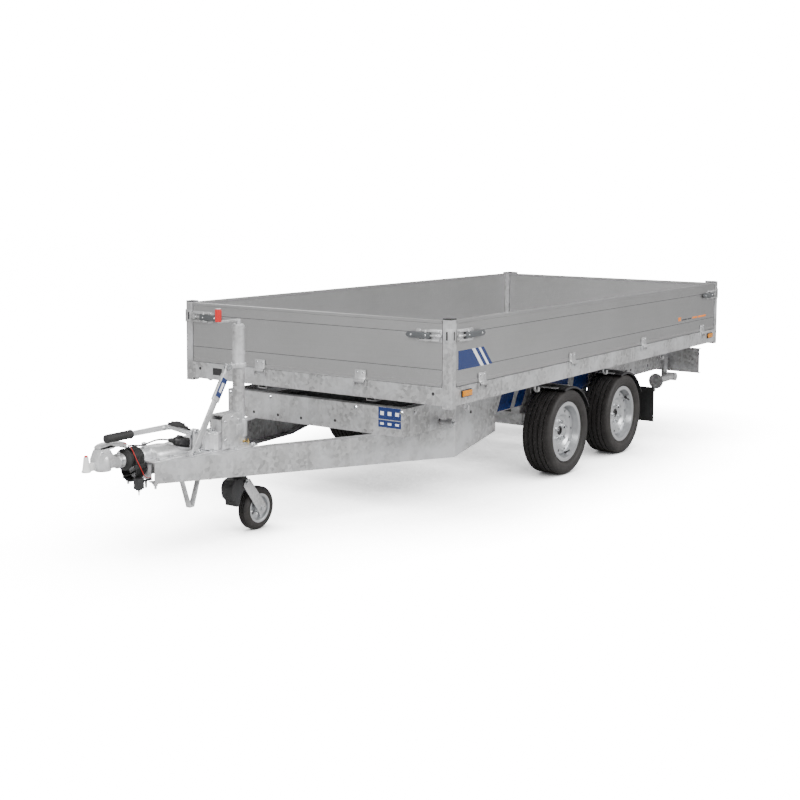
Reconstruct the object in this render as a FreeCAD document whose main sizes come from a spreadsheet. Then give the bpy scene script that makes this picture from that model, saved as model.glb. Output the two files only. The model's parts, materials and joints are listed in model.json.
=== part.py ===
import FreeCAD, Part
import math
import os
import re
import Sketcher
from FreeCAD import Placement, Rotation, Vector

# Tandem-axle three-way tipping trailer: galvanised ladder chassis on a V drawbar,
# and a steel-floored bed with four aluminium drop boards.
# Frame: +X runs to the tail, -Y is the trailer's left, +Z is up, and the
# origin is on the ground under the middle of the whole trailer.

doc = FreeCAD.newDocument("tipping_trailer")

# Driving sizes: name, value in millimetres or degrees, what it measures.
SIZES = (
    ("bed_middle_x", 776, "middle of the bed, along the trailer"),
    ("bed_length", 3676, "bed over its corner posts"),
    ("bed_width", 1836, "bed over its corner posts"),
    ("floor_top_z", 714, "load floor above the ground"),
    ("floor_sheet", 4, "thickness of the floor sheet"),
    ("edge_rail_height", 94, "pressed rail round the bed"),
    ("edge_rail_wall", 4, "thickness of that rail"),
    ("post_size", 50, "corner post, square, and flange of the edge rails"),
    ("post_wall", 5, "wall of a corner post"),
    ("post_bottom_z", 605, "foot of a corner post"),
    ("post_top_z", 1061, "top of a corner post without its cap"),
    ("cap_height", 7, "plastic cap of a corner post"),
    ("board_height", 338, "drop board"),
    ("board_thickness", 25, "drop board"),
    ("board_lip", 3, "flange that a board's rim stands proud by"),
    ("board_rim", 14, "height of a board's rim profiles"),
    ("board_gap", 5, "clearance of a board from posts and rail"),
    ("hinge_out", 13, "hinge line outside the bed's face"),
    ("hinge_drop", 8, "hinge line below the floor's top"),
    ("hinge_pin_radius", 5, "pin of a board hinge"),
    ("hinge_knuckle_radius", 9, "knuckle of a board hinge"),
    ("hinge_width", 70, "board hinge"),
    ("hinge_spacing", 1025, "between the hinges of a side board"),
    ("end_hinge_spacing", 700, "between the hinges of the front board"),
    ("running_gap", 0.3, "between a turning piece and its seat"),
    ("beam_spacing", 760, "between the middles of the bed's two beams"),
    ("beam_width", 60, "bed beam"),
    ("beam_height", 58, "bed beam"),
    ("cross_height", 58, "bed cross channel"),
    ("cross_width", 50, "bed cross channel"),
    ("frame_half_width", 615, "outer face of a chassis rail"),
    ("frame_bottom_z", 425, "underside of the chassis rails"),
    ("frame_height", 150, "chassis rail"),
    ("frame_wall", 5, "thickness of a chassis rail"),
    ("frame_flange", 58, "flange of a chassis rail"),
    ("frame_front_x", -1039, "front face of the chassis"),
    ("front_depth", 60, "front crossmember, along the trailer"),
    ("frame_rear_x", 2398, "tail end of the chassis rails"),
    ("arm_nose_x", -2304, "front end of the drawbar arms"),
    ("arm_nose_y", 106, "outer face of an arm at its front end"),
    ("arm_bend_x", -545, "where an arm turns along its rail"),
    ("arm_end_x", -107, "rear end of an arm"),
    ("arm_top_z", 449, "top of an arm at its front end"),
    ("arm_nose_depth", 97, "depth of an arm at its front end"),
    ("arm_bend_depth", 186, "depth of an arm at its bend"),
    ("arm_end_depth", 106, "depth of an arm at its rear end"),
    ("arm_clamp_share", 0.36, "where an arm's top starts to fall, as a share of its run"),
    ("arm_level_share", 0.7, "where it is level with the chassis, as a share of its run"),
    ("arm_flange", 58, "flange of an arm"),
    ("arm_wall", 5, "thickness of an arm"),
    ("wheel_front_x", 390, "front axle"),
    ("wheel_rear_x", 1174, "rear axle"),
    ("tyre_radius", 262.5, "tyre"),
    ("tyre_width", 194, "tyre, across its walls"),
    ("tread_width", 158, "tyre, across its tread"),
    ("seat_radius", 165, "where the tyre sits on the rim"),
    ("rim_flange_radius", 182, "rim flange"),
    ("rim_width", 142, "rim between its flanges"),
    ("rim_wall", 5, "rim"),
    ("well_radius", 153, "well of the rim"),
    ("disc_out", 42, "wheel disc, outward of the wheel's middle"),
    ("disc_radius", 138, "flat ring of the wheel disc"),
    ("nave_radius", 84, "middle of the wheel disc, where its nuts sit"),
    ("hub_bore_radius", 30, "hole in the middle of the wheel disc"),
    ("wheel_face_y", 846, "outer face of a tyre"),
    ("hub_radius", 102, "brake drum"),
    ("hub_depth", 62, "brake drum"),
    ("swing_length", 160, "axle tube ahead of its wheel centres"),
    ("axle_tube", 76, "square axle tube"),
    ("axle_tube_z", 345, "middle of the axle tube"),
    ("swing_thickness", 20, "swing arm"),
    ("guard_gap", 27, "mudguard over the tyre"),
    ("guard_thickness", 3, "mudguard"),
    ("tip_axis_x", 2440, "rear tipping axis"),
    ("tip_axis_z", 602, "rear tipping axis"),
    ("tip_pin_radius", 22, "tipping pin"),
    ("coupling_z", 470, "centre of the coupling shaft"),
    ("ball_radius", 25, "tow ball that the coupling takes"),
    ("ball_x", -2589, "centre of the tow ball"),
    ("ball_z", 452, "centre of the tow ball"),
    ("shaft_radius", 27, "coupling shaft"),
    ("housing_radius", 43, "overrun housing"),
    ("housing_length", 320, "overrun housing"),
    ("gaiter_length", 92, "bellows in front of the overrun housing"),
    ("gaiter_radius", 46, "bellows over their folds"),
    ("jack_x", -1754, "jockey wheel post"),
    ("jack_y", -120, "jockey wheel post"),
    ("jack_top_z", 1040, "top of the jockey wheel post"),
    ("jack_tube_radius", 30, "outer jockey tube"),
    ("jack_inner_radius", 24, "inner jockey tube"),
    ("jack_trail", 121, "jockey wheel behind its post"),
    ("jack_wheel_radius", 109, "jockey wheel"),
    ("jack_wheel_width", 62, "jockey wheel"),
    ("ram_x", 1180, "foot of the lifting ram"),
    ("ram_foot_z", 170, "foot pivot of the lifting ram"),
    ("ram_pin_radius", 16, "pin through the ram's foot"),
    ("ram_radius", 62, "barrel of the lifting ram"),
    ("ram_stage_step", 12, "radius lost at each stage of the ram"),
    ("ram_stage_rise", 14, "what each stage stands out of the one round it"),
    ("ram_barrel_length", 390, "barrel of the lifting ram, from its foot pivot"),
    ("ram_eye_z", 612, "eye of the lifting ram, closed"),
    ("lamp_bar_depth", 34, "lamp bar"),
    ("lamp_bar_bottom_z", 396, "lamp bar"),
    ("lamp_bar_height", 182, "lamp bar"),
    ("lamp_bar_half", 872, "lamp bar, from the middle to its end"),
    ("stand_x", 2330, "pivot of a rear prop stand"),
    ("stand_out", 75, "middle of a rear prop stand outside its rail"),
    ("stand_z", 365, "pivot of a rear prop stand"),
    ("stand_length", 300, "rear prop stand from pivot to foot"),
    ("stand_tube_radius", 24, "tube of a prop stand"),
    ("stand_foot_radius", 55, "foot plate of a prop stand"),
)

sheet = doc.addObject("Spreadsheet::Sheet", "Sizes")
for row, (alias, size, meaning) in enumerate(SIZES, 1):
    sheet.set(f"A{row}", alias)
    sheet.set(f"B{row}", str(size))
    sheet.set(f"C{row}", meaning)
    sheet.setAlias(f"B{row}", alias)
doc.recompute()

NODES = []


# Helpers

def sized(text):
    """A formula in the sheet's names, as an expression of the document."""
    return re.sub(r"\b[a-z]+(?:_[a-z0-9]+)+\b", r"Sizes.\g<0>", str(text))


def value(text):
    """What a formula gives with the sheet's present values."""
    result = sheet.evalExpression(sized(text))
    return float(getattr(result, "Value", result))


def bind(thing, **formulas):
    for path, text in formulas.items():
        thing.setExpression(path.replace("__", "."), sized(text))
    return thing


def place(thing, corner, turn=None, angle=0):
    """Puts a piece at a place, turned about an axis by a formula's degrees."""
    x, y, z = (sized(part) for part in corner)
    axis = turn or (0, 0, 1)
    thing.setExpression("Placement", (
        f"create(<<placement>>; create(<<vector>>; {x}; {y}; {z}); "
        f"create(<<rotation>>; create(<<vector>>; {axis[0]}; {axis[1]}; {axis[2]}); "
        f"{sized(angle)}))"))
    return thing


def block(name, size, corner, turn=None, angle=0):
    box = doc.addObject("Part::Box", name)
    bind(box, Length=size[0], Width=size[1], Height=size[2])
    return place(box, corner, turn, angle)


ROD_TURNS = {"x": ((0, 1, 0), 90), "y": ((1, 0, 0), -90), "z": ((0, 0, 1), 0)}


def rod(name, radius, length, start, along="z"):
    """A round bar from its start, along one axis."""
    bar = doc.addObject("Part::Cylinder", name)
    bind(bar, Radius=radius, Height=length)
    return place(bar, start, *ROD_TURNS[along])


def fuse(name, pieces):
    joined = doc.addObject("Part::MultiFuse", name)
    joined.Shapes = pieces
    joined.Refine = True
    return joined


def cut(name, base, *tools):
    tool = tools[0] if len(tools) == 1 else fuse(name + "_tools", list(tools))
    rest = doc.addObject("Part::Cut", name)
    rest.Base = base
    rest.Tool = tool
    return rest


def group(name, pieces):
    """Like pieces of one body that don't touch, in one node."""
    several = doc.addObject("Part::Compound", name)
    several.Links = pieces
    return several


def mirror(name, source):
    """The same piece on the trailer's other side."""
    other = doc.addObject("Part::Mirroring", name)
    other.Source = source
    other.Normal = Vector(0, 1, 0)
    return other


def mirror_ends(name, source):
    """The same piece at the bed's other end."""
    other = doc.addObject("Part::Mirroring", name)
    other.Source = source
    other.Normal = Vector(1, 0, 0)
    bind(other, Base__x="bed_middle_x")
    return other


def node(thing, label):
    thing.Label = label
    NODES.append(thing)
    return thing


def plane_of(body, role):
    return next(f for f in body.Origin.OriginFeatures if f.Role == role)


def draw(body, name, plane, outline):
    """A closed outline of straight edges, each corner held by two formulas."""
    sketch = body.newObject("Sketcher::SketchObject", name)
    sketch.AttachmentSupport = (plane_of(body, plane), [""])
    sketch.MapMode = "FlatFace"
    corners = [Vector(value(x), value(y), 0) for x, y in outline]
    for i, corner in enumerate(corners):
        sketch.addGeometry(Part.LineSegment(corner, corners[(i + 1) % len(corners)]))
    for i in range(len(corners)):
        sketch.addConstraint(
            Sketcher.Constraint("Coincident", i, 2, (i + 1) % len(corners), 1))
    for i, (x, y) in enumerate(outline):
        for kind, text, size in (("X", x, corners[i].x), ("Y", y, corners[i].y)):
            index = sketch.addConstraint(
                Sketcher.Constraint("Distance" + kind, -1, 1, i, 1, size))
            sketch.setExpression(f"Constraints[{index}]", sized(text))
    return sketch


def plate(name, outline, thickness, corner=(0, 0, 0), plane="XY_Plane",
          turn=None, angle=0, reverse=False, middle=False):
    """A flat or extruded piece: an outline padded square to its plane."""
    body = doc.addObject("PartDesign::Body", name)
    sketch = draw(body, name + "_outline", plane, outline)
    pad = body.newObject("PartDesign::Pad", name + "_pad")
    pad.Profile = sketch
    pad.Reversed = reverse
    if middle:
        pad.SideType = "Symmetric"
    bind(pad, Length=thickness)
    return place(body, corner, turn, angle)


def turned(name, outline, corner, along="y", sweep=360, turn=None, angle=0):
    """A turned piece: an outline of (along the axis, radius) pairs."""
    body = doc.addObject("PartDesign::Body", name)
    sketch = draw(body, name + "_outline", "XY_Plane", outline)
    spin = body.newObject("PartDesign::Revolution", name + "_spin")
    spin.Profile = sketch
    spin.ReferenceAxis = (sketch, ["H_Axis"])
    bind(spin, Angle=sweep)
    frames = {"x": ((1, 0, 0), 0), "y": ((0, 0, 1), 90), "z": ((0, 1, 0), -90)}
    return place(body, corner, *(frames[along] if turn is None else (turn, angle)))


def channel(name, width, height, wall, length, corner, mouth="in"):
    """A pressed channel along X with its web on the -Y side."""
    outline = (
        (0, 0), (width, 0), (width, wall), (wall, wall),
        (wall, f"{height} - {wall}"), (width, f"{height} - {wall}"),
        (width, height), (0, height),
    )
    return plate(name, outline, length, corner, plane="YZ_Plane")


# Places that several pieces share

FRONT = "(bed_middle_x - bed_length / 2)"
REAR = "(bed_middle_x + bed_length / 2)"
LEFT = "(-bed_width / 2)"
FRAME_TOP = "(frame_bottom_z + frame_height)"
RAIL_BOTTOM = "(floor_top_z - edge_rail_height)"
HINGE_Z = "(floor_top_z - hinge_drop)"
BOARD_Z = "(floor_top_z + board_gap)"
BOARD_TOP = "(floor_top_z + board_gap + board_height)"
CROSS_Z = "(floor_top_z - floor_sheet - cross_height)"
BEAM_Z = "(floor_top_z - floor_sheet - cross_height - beam_height)"
MEMBER_TOP = "(frame_bottom_z + frame_height - 20)"
HUB_Y = "(wheel_face_y - tyre_width / 2)"


# Bed: edge rails, floor, posts, beams

def bed_edge_rails():
    side = channel(
        "side_rail", "post_size", "edge_rail_height", "edge_rail_wall",
        "bed_length - 2 * post_size", (f"{FRONT} + post_size", LEFT, RAIL_BOTTOM))
    outline = (
        (0, 0), ("post_size", 0), ("post_size", "edge_rail_wall"),
        ("edge_rail_wall", "edge_rail_wall"),
        ("edge_rail_wall", "edge_rail_height - edge_rail_wall"),
        ("post_size", "edge_rail_height - edge_rail_wall"),
        ("post_size", "edge_rail_height"), (0, "edge_rail_height"),
    )
    front = plate("front_rail", outline, "bed_width - 2 * post_size",
                  (FRONT, f"bed_width / 2 - post_size", RAIL_BOTTOM), plane="XZ_Plane")
    node(group("edge_rails", [side, mirror("side_rail_other", side),
                              front, mirror_ends("rear_rail", front)]), "bed_rails")


def bed_floor():
    node(block("floor_plate",
               ("bed_length - 2 * post_size", "bed_width - 2 * post_size", "floor_sheet"),
               (f"{FRONT} + post_size", f"{LEFT} + post_size", "floor_top_z - floor_sheet")),
         "bed_floor")


def bed_posts():
    height = "(post_top_z - post_bottom_z)"
    posts = []
    caps = []
    for i, (end, side) in enumerate(((0, 0), (0, 1), (1, 0), (1, 1))):
        x = f"{FRONT} + {end} * (bed_length - post_size)"
        y = f"{LEFT} + {side} * (bed_width - post_size)"
        outer = block(f"post_outer_{i}", ("post_size", "post_size", height),
                      (x, y, "post_bottom_z"))
        bore = block(f"post_bore_{i}",
                     ("post_size - 2 * post_wall", "post_size - 2 * post_wall", height),
                     (f"{x} + post_wall", f"{y} + post_wall", "post_bottom_z"))
        posts.append(cut(f"post_{i}", outer, bore))
        caps.append(block(f"cap_{i}", ("post_size", "post_size", "cap_height"),
                          (x, y, "post_top_z")))
    node(group("posts", posts), "corner_posts")
    node(group("caps", caps), "post_caps")


def bed_beams():
    beams = []
    for i, side in enumerate((-1, 1)):
        y = f"{side} * beam_spacing / 2 - beam_width / 2"
        outer = block(f"beam_outer_{i}",
                      ("bed_length - 2 * post_size", "beam_width", "beam_height"),
                      (f"{FRONT} + post_size", y, BEAM_Z))
        hollow = block(f"beam_hollow_{i}",
                       ("bed_length - 2 * post_size", "beam_width - 10", "beam_height - 10"),
                       (f"{FRONT} + post_size", f"{y} + 5", f"{BEAM_Z} + 5"))
        beams.append(cut(f"beam_{i}", outer, hollow))
    return beams


# Cross channels of the bed: shares of the free length between the end rails
CROSS_SHARES = (0.06, 0.22, 0.38, 0.64, 0.8, 0.9527)


def bed_crosses():
    length = "(bed_width - 2 * edge_rail_wall)"
    crosses = []
    for i, share in enumerate(CROSS_SHARES):
        x = f"{FRONT} + bed_length * {share} - cross_width / 2"
        outer = block(f"cross_outer_{i}", ("cross_width", length, "cross_height"),
                      (x, f"-{length} / 2", CROSS_Z))
        hollow = block(f"cross_hollow_{i}",
                       ("cross_width - 8", length, "cross_height - 4"),
                       (f"{x} + 4", f"-{length} / 2", CROSS_Z))
        crosses.append(cut(f"cross_{i}", outer, hollow))
    node(fuse("subframe", crosses + bed_beams()), "bed_subframe")


# Boards: each with its rims, hinge straps and corner latches

def board(name, long, corner_x, corner_y, along_x):
    """A ribbed board with a thicker rim at top and bottom."""
    web = "(board_thickness - 2 * board_lip)"
    outline = (
        (0, 0), ("board_thickness", 0), ("board_thickness", "board_rim"),
        ("board_thickness - board_lip", "board_rim + board_lip"),
        ("board_thickness - board_lip", "board_height - board_rim - board_lip"),
        ("board_thickness", "board_height - board_rim"), ("board_thickness", "board_height"),
        (0, "board_height"), (0, "board_height - board_rim"),
        ("board_lip", "board_height - board_rim - board_lip"),
        ("board_lip", "board_rim + board_lip"), (0, "board_rim"),
    )
    if along_x:
        return plate(name, outline, long, (corner_x, corner_y, BOARD_Z), plane="YZ_Plane")
    return plate(name, outline, long, (corner_x, corner_y, BOARD_Z), plane="XZ_Plane")


def hinge_strap(name, width):
    """A strap on a board's outer face that rolls round the hinge line.

    Drawn across the board: x is outboard negative from the hinge line."""
    reach = 46
    outline = (
        ("-hinge_pin_radius", 0), ("hinge_pin_radius", 0),
        ("hinge_out - running_gap", f"hinge_drop + board_gap + 1"),
        ("hinge_out - running_gap", f"hinge_drop + board_gap + {reach}"),
        ("hinge_out - running_gap - 5", f"hinge_drop + board_gap + {reach}"),
        ("hinge_out - running_gap - 5", "hinge_drop + board_gap + 8"),
        ("-hinge_pin_radius", "hinge_drop"),
    )
    return outline


def side_hinges(side_name, places):
    """Straps on a side board, with a knuckle round each hinge pin."""
    straps = []
    for i, middle in enumerate(places):
        x = f"{middle} - hinge_width / 2"
        strap = plate(f"{side_name}_strap_{i}", hinge_strap("", ""), "hinge_width",
                      (x, f"{LEFT} - hinge_out", HINGE_Z), plane="YZ_Plane")
        knuckle = rod(f"{side_name}_knuckle_{i}", "hinge_knuckle_radius", "hinge_width",
                      (x, f"{LEFT} - hinge_out", HINGE_Z), "x")
        straps.append(fuse(f"{side_name}_hinge_{i}", [strap, knuckle]))
    return straps


LATCH_Z = "(post_top_z - 92)"


def side_latches():
    """Lever latches at both upper corners of the left board."""
    latches = []
    for i, end in enumerate((0, 1)):
        grip = "150"
        x = f"{FRONT} + post_size + board_gap" if end == 0 else (
            f"{REAR} - post_size - board_gap - {grip}")
        base = block(f"latch_base_{i}", (grip, "12", "44"),
                     (x, f"{LEFT} + board_lip - 12 - running_gap", LATCH_Z))
        lever = block(f"latch_lever_{i}", ("120", "10", "14"),
                      (f"{x} + 15", f"{LEFT} + board_lip - 22 - running_gap", f"{LATCH_Z} + 15"))
        latches.append(fuse(f"side_latch_{i}", [base, lever]))
    return latches


def boards():
    side = board("side_board", "bed_length - 2 * post_size - 2 * board_gap",
                 f"{FRONT} + post_size + board_gap", LEFT, True)
    node(side, "board_left")
    node(mirror("side_board_other", side), "board_right")
    places = [f"(bed_middle_x + {step} * hinge_spacing)" for step in (-1.5, -0.5, 0.5, 1.5)]
    fittings = group("side_fittings", side_hinges("side", places) + side_latches())
    node(fittings, "board_fittings_left")
    node(mirror("side_fittings_other", fittings), "board_fittings_right")

    end = board("end_board", "bed_width - 2 * post_size - 2 * board_gap",
                FRONT, "bed_width / 2 - post_size - board_gap", False)
    node(end, "board_front")

    straps = []
    for i, step in enumerate((-0.5, 0.5)):
        y = f"{step} * end_hinge_spacing + hinge_width / 2"
        strap = plate(f"front_strap_{i}", hinge_strap("", ""), "hinge_width",
                      (f"{FRONT} - hinge_out", y, HINGE_Z), plane="XZ_Plane")
        knuckle = rod(f"front_knuckle_{i}", "hinge_knuckle_radius", "hinge_width",
                      (f"{FRONT} - hinge_out", f"{y} - hinge_width", HINGE_Z), "y")
        straps.append(fuse(f"front_hinge_{i}", [strap, knuckle]))
    for i, side_sign in enumerate((-1, 1)):
        grip = "150"
        y = f"{side_sign} * (bed_width / 2 - post_size - board_gap - {grip} / 2) - {grip} / 2"
        base = block(f"front_latch_base_{i}", ("12", grip, "44"),
                     (f"{FRONT} + board_lip - 12 - running_gap", y, LATCH_Z))
        lever = block(f"front_latch_lever_{i}", ("10", "120", "14"),
                      (f"{FRONT} + board_lip - 22 - running_gap", f"{y} + 15", f"{LATCH_Z} + 15"))
        straps.append(fuse(f"front_latch_{i}", [base, lever]))
    node(group("front_fittings", straps), "board_fittings_front")

    hangers = []
    for i, side_sign in enumerate((-1, 1)):
        y = f"{side_sign} * (bed_width / 2 - post_size - board_gap - 25) - 20"
        arm = block(f"hanger_arm_{i}", ("8", "40", "70"),
                    (f"{REAR} + running_gap", y, f"{BOARD_TOP} - 60"))
        eye = rod(f"hanger_eye_{i}", "9", "50",
                  (f"{REAR} + 9", f"{y} - 5 + {side_sign} * 5", f"{BOARD_TOP} + 4"), "y")
        hangers.append(fuse(f"hanger_{i}", [arm, eye]))
    node(group("tailboard", [mirror_ends("end_board_other", end)] + hangers), "board_rear")


def bed_fittings():
    """Hinge pin brackets on the bed's edge rails, board hanger pins and marker lamps."""
    brackets = []
    sides = [(f"(bed_middle_x + {step} * hinge_spacing)", sign)
             for step in (-1.5, -0.5, 0.5, 1.5) for sign in (-1, 1)]
    for i, (middle, sign) in enumerate(sides):
        for j, edge in enumerate((-1, 1)):
            x = f"{middle} + {edge} * (hinge_width / 2 + running_gap + 5) - 5"
            y = f"{sign} * (bed_width / 2 + hinge_out / 2 + running_gap) - hinge_out / 2"
            brackets.append(block(
                f"hinge_ear_{i}_{j}", ("10", "hinge_out", "30"), (x, y, f"{HINGE_Z} - 24")))
    for i, step in enumerate((-0.5, 0.5)):
        for j, edge in enumerate((-1, 1)):
            y = f"{step} * end_hinge_spacing + {edge} * (hinge_width / 2 + running_gap + 5) - 5"
            brackets.append(block(
                f"front_ear_{i}_{j}", ("hinge_out", "10", "30"),
                (f"{FRONT} - hinge_out - running_gap", y, f"{HINGE_Z} - 24")))

    for i, sign in enumerate((-1, 1)):
        eye_end = "(bed_width / 2 - post_size + running_gap)"
        wide = f"(bed_width / 2 - 15 - {eye_end})"
        brackets.append(block(
            f"hanger_seat_{i}", ("18", wide, "27"),
            (REAR, f"{sign} * ({eye_end} + {wide} / 2) - {wide} / 2", "post_top_z - 18")))

    lamps = []
    for i, share in enumerate((0.04, 0.96)):
        for j, sign in enumerate((-1, 1)):
            y = f"{sign} * (bed_width / 2 + 6.5 + running_gap) - 6.5"
            lamps.append(block(f"marker_{i}_{j}", ("95", "13", "38"),
                               (f"{FRONT} + bed_length * {share} - 47", y, "floor_top_z - 58")))
    node(group("markers", lamps), "marker_lamps")

    hooks = []
    for i, share in enumerate((0.035, 0.24, 0.48, 0.72)):
        for j, sign in enumerate((-1, 1)):
            hooks.append(block(f"hook_{i}_{j}", ("12", "26", "46"),
                               (f"{FRONT} + post_size + bed_length * {share}",
                                f"{sign} * (bed_width / 2 - 31) - 13", f"{RAIL_BOTTOM} - 46")))
    node(group("fittings", brackets + hooks), "bed_fittings")


# Chassis: rails, front and cross members, drawbar

def chassis_rails():
    rail = channel("rail", "frame_flange", "frame_height", "frame_wall",
                   "frame_rear_x - frame_front_x - front_depth",
                   ("frame_front_x + front_depth", "-frame_half_width", "frame_bottom_z"))
    node(rail, "chassis_rail_left")
    node(mirror("rail_other", rail), "chassis_rail_right")


def front_member():
    """The closed front of the chassis, behind which the pump sits."""
    outline = (
        (0, 0), ("front_depth", 0), ("front_depth", "frame_wall"),
        ("frame_wall", "frame_wall"), ("frame_wall", "frame_height - frame_wall"),
        ("front_depth", "frame_height - frame_wall"), ("front_depth", "frame_height"),
        (0, "frame_height"),
    )
    node(plate("front_channel", outline, "2 * frame_half_width",
               ("frame_front_x", "frame_half_width", "frame_bottom_z"),
               plane="XZ_Plane"), "front_crossmember")
    node(block("pump", ("330", "880", "120"),
               ("frame_front_x + front_depth + running_gap", "-440", "frame_bottom_z + running_gap")),
         "pump_and_battery")


# Cross members between the chassis rails: x, width along the trailer
MEMBERS = (("-160", 60), ("500", 60), ("ram_x - 120", 50), ("ram_x + 200", 50), ("1850", 60),
           ("frame_rear_x - 78", 60))


def cross_members():
    members = []
    half = "(frame_half_width - frame_wall)"
    for i, (x, width) in enumerate(MEMBERS):
        outer = block(f"member_outer_{i}", (width, f"2 * {half}", "frame_height - 40"),
                      (x, f"-{half}", "frame_bottom_z + 20"))
        hollow = block(f"member_hollow_{i}",
                       (width - 10, f"2 * {half}", "frame_height - 50"),
                       (f"{x} + 5", f"-{half}", "frame_bottom_z + 25"))
        members.append(cut(f"member_{i}", outer, hollow))
    node(group("members", members), "chassis_crossmembers")


def drawbar_arms():
    """A pressed arm that runs out from the coupling and turns along its rail."""
    run = "(arm_bend_x - arm_nose_x)"
    spread = "(frame_half_width - arm_nose_y)"
    length = f"sqrt({run} ^ 2 + {spread} ^ 2)"
    tail = "(arm_end_x - arm_bend_x)"
    nose_low = "(arm_top_z - arm_nose_depth)"
    bend_low = "(frame_bottom_z - arm_bend_depth)"
    end_low = "(frame_bottom_z - arm_end_depth)"

    def pressed(name, top_a, low_a, top_b, low_b, long, corner, turn):
        outer = plate(name + "_outer", (
            (0, low_a), (long, low_b), (long, top_b), (f"{long} * arm_level_share", top_b),
            (f"{long} * arm_clamp_share", top_a), (0, top_a)),
            "arm_flange", corner, "XZ_Plane", (0, 0, 1), turn, reverse=True)
        hollow = plate(name + "_hollow", (
            (-1, f"{low_a} + arm_wall"), (f"{long} + 1", f"{low_b} + arm_wall"),
            (f"{long} + 1", f"{top_b} - arm_wall"),
            (f"{long} * arm_level_share", f"{top_b} - arm_wall"),
            (f"{long} * arm_clamp_share", f"{top_a} - arm_wall"), (-1, f"{top_a} - arm_wall")),
            "arm_flange", corner, "XZ_Plane", (0, 0, 1), turn, reverse=True)
        inset = doc.getObject(name + "_hollow_outline")
        inset.setExpression("AttachmentOffset.Base.z", sized("-arm_wall"))
        return cut(name, outer, hollow)

    front = pressed("arm_front", "arm_top_z", nose_low, "frame_bottom_z", bend_low, length,
                    ("arm_nose_x", "-arm_nose_y", 0), f"-atan({spread} / {run})")
    rear = pressed("arm_rear", "frame_bottom_z", bend_low, "frame_bottom_z", end_low, tail,
                   ("arm_bend_x", "-frame_half_width", 0), 0)
    arm = fuse("arm", [front, rear])
    node(arm, "drawbar_arm_left")
    node(mirror("arm_other", arm), "drawbar_arm_right")


def coupling():
    front_end = "(arm_nose_x - gaiter_length)"
    tube = rod("overrun_tube", "housing_radius", "housing_length",
               ("arm_nose_x", 0, "coupling_z"), "x")
    foot = block("overrun_foot", ("housing_length", "2 * arm_nose_y", "6"),
                 ("arm_nose_x", "-arm_nose_y", "arm_top_z + 0.3"))
    cheek_a = block("overrun_cheek_a", ("110", "8", "110"),
                    ("arm_nose_x + 190", "-52", "arm_top_z + 0.3"))
    cheek_b = block("overrun_cheek_b", ("110", "8", "110"),
                    ("arm_nose_x + 190", "30", "arm_top_z + 0.3"))
    bore = rod("overrun_bore", "shaft_radius + running_gap", "housing_length - 60",
               ("arm_nose_x - 1", 0, "coupling_z"), "x")
    node(cut("overrun", fuse("overrun_solid", [tube, foot, cheek_a, cheek_b]), bore),
         "overrun_housing")

    folds = 5
    outline = [(0, "shaft_radius + running_gap")]
    for i in range(folds):
        outline.append((f"gaiter_length * {i} / {folds}", "gaiter_radius - 10"))
        outline.append((f"gaiter_length * ({i} + 0.5) / {folds}", "gaiter_radius"))
    outline.append(("gaiter_length", "gaiter_radius - 10"))
    outline.append(("gaiter_length", "shaft_radius + running_gap"))
    node(turned("bellows", outline, (front_end, 0, "coupling_z"), "x"), "gaiter")

    back = block("head_back", ("130", "64", "78"), ("ball_x + 20", "-32", "coupling_z - 34"))
    cup = rod("head_cup", "ball_radius + 18", "62", ("ball_x", 0, "ball_z - 12"), "z")
    nose = doc.addObject("Part::Sphere", "head_dome")
    bind(nose, Radius="ball_radius + 18")
    place(nose, ("ball_x", 0, "ball_z + 50"))
    dome = cut("head_dome_top", nose, block(
        "head_dome_cut", ("200", "200", "100"), ("ball_x - 100", "-100", "ball_z - 50")))
    solid = fuse("head_solid", [back, cup, dome])
    socket = doc.addObject("Part::Sphere", "head_socket")
    bind(socket, Radius="ball_radius + 0.5")
    place(socket, ("ball_x", 0, "ball_z"))
    mouth = rod("head_mouth", "ball_radius + 0.5", "60", ("ball_x", 0, "ball_z - 60"), "z")
    shaft = rod("shaft", "shaft_radius", "gaiter_length + 200",
                (f"{front_end} - 60", 0, "coupling_z"), "x")
    node(fuse("head", [cut("head_open", solid, socket, mouth), shaft]), "coupling_head")

    outline = ((0, 0), (110, 24), (150, 26), (150, 44), (104, 44), (-8, 22), (-30, 18), (-30, 0))
    node(plate("head_lever", outline, "40", ("ball_x + 10", "20", "ball_z + ball_radius + 68 + running_gap"),
               "XZ_Plane"), "coupling_handle")


def handbrake():
    pivot_x = "(arm_nose_x + 250)"
    outline = ((-16, -60), (16, -60), (22, 20), (-20, 38), (-200, 44), (-200, 26), (-40, 14))
    lever = plate("brake_lever", outline, "10", (pivot_x, "-52 - running_gap", 545), "XZ_Plane")
    rail = rod("brake_rail", "11", "200", (f"{pivot_x} - 330", "-57", 580), "x")
    grip = rod("brake_grip", "16", "135", (f"{pivot_x} - 460", "-57", 580), "x")
    node(fuse("brake", [lever, rail, grip]), "handbrake_lever")


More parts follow.
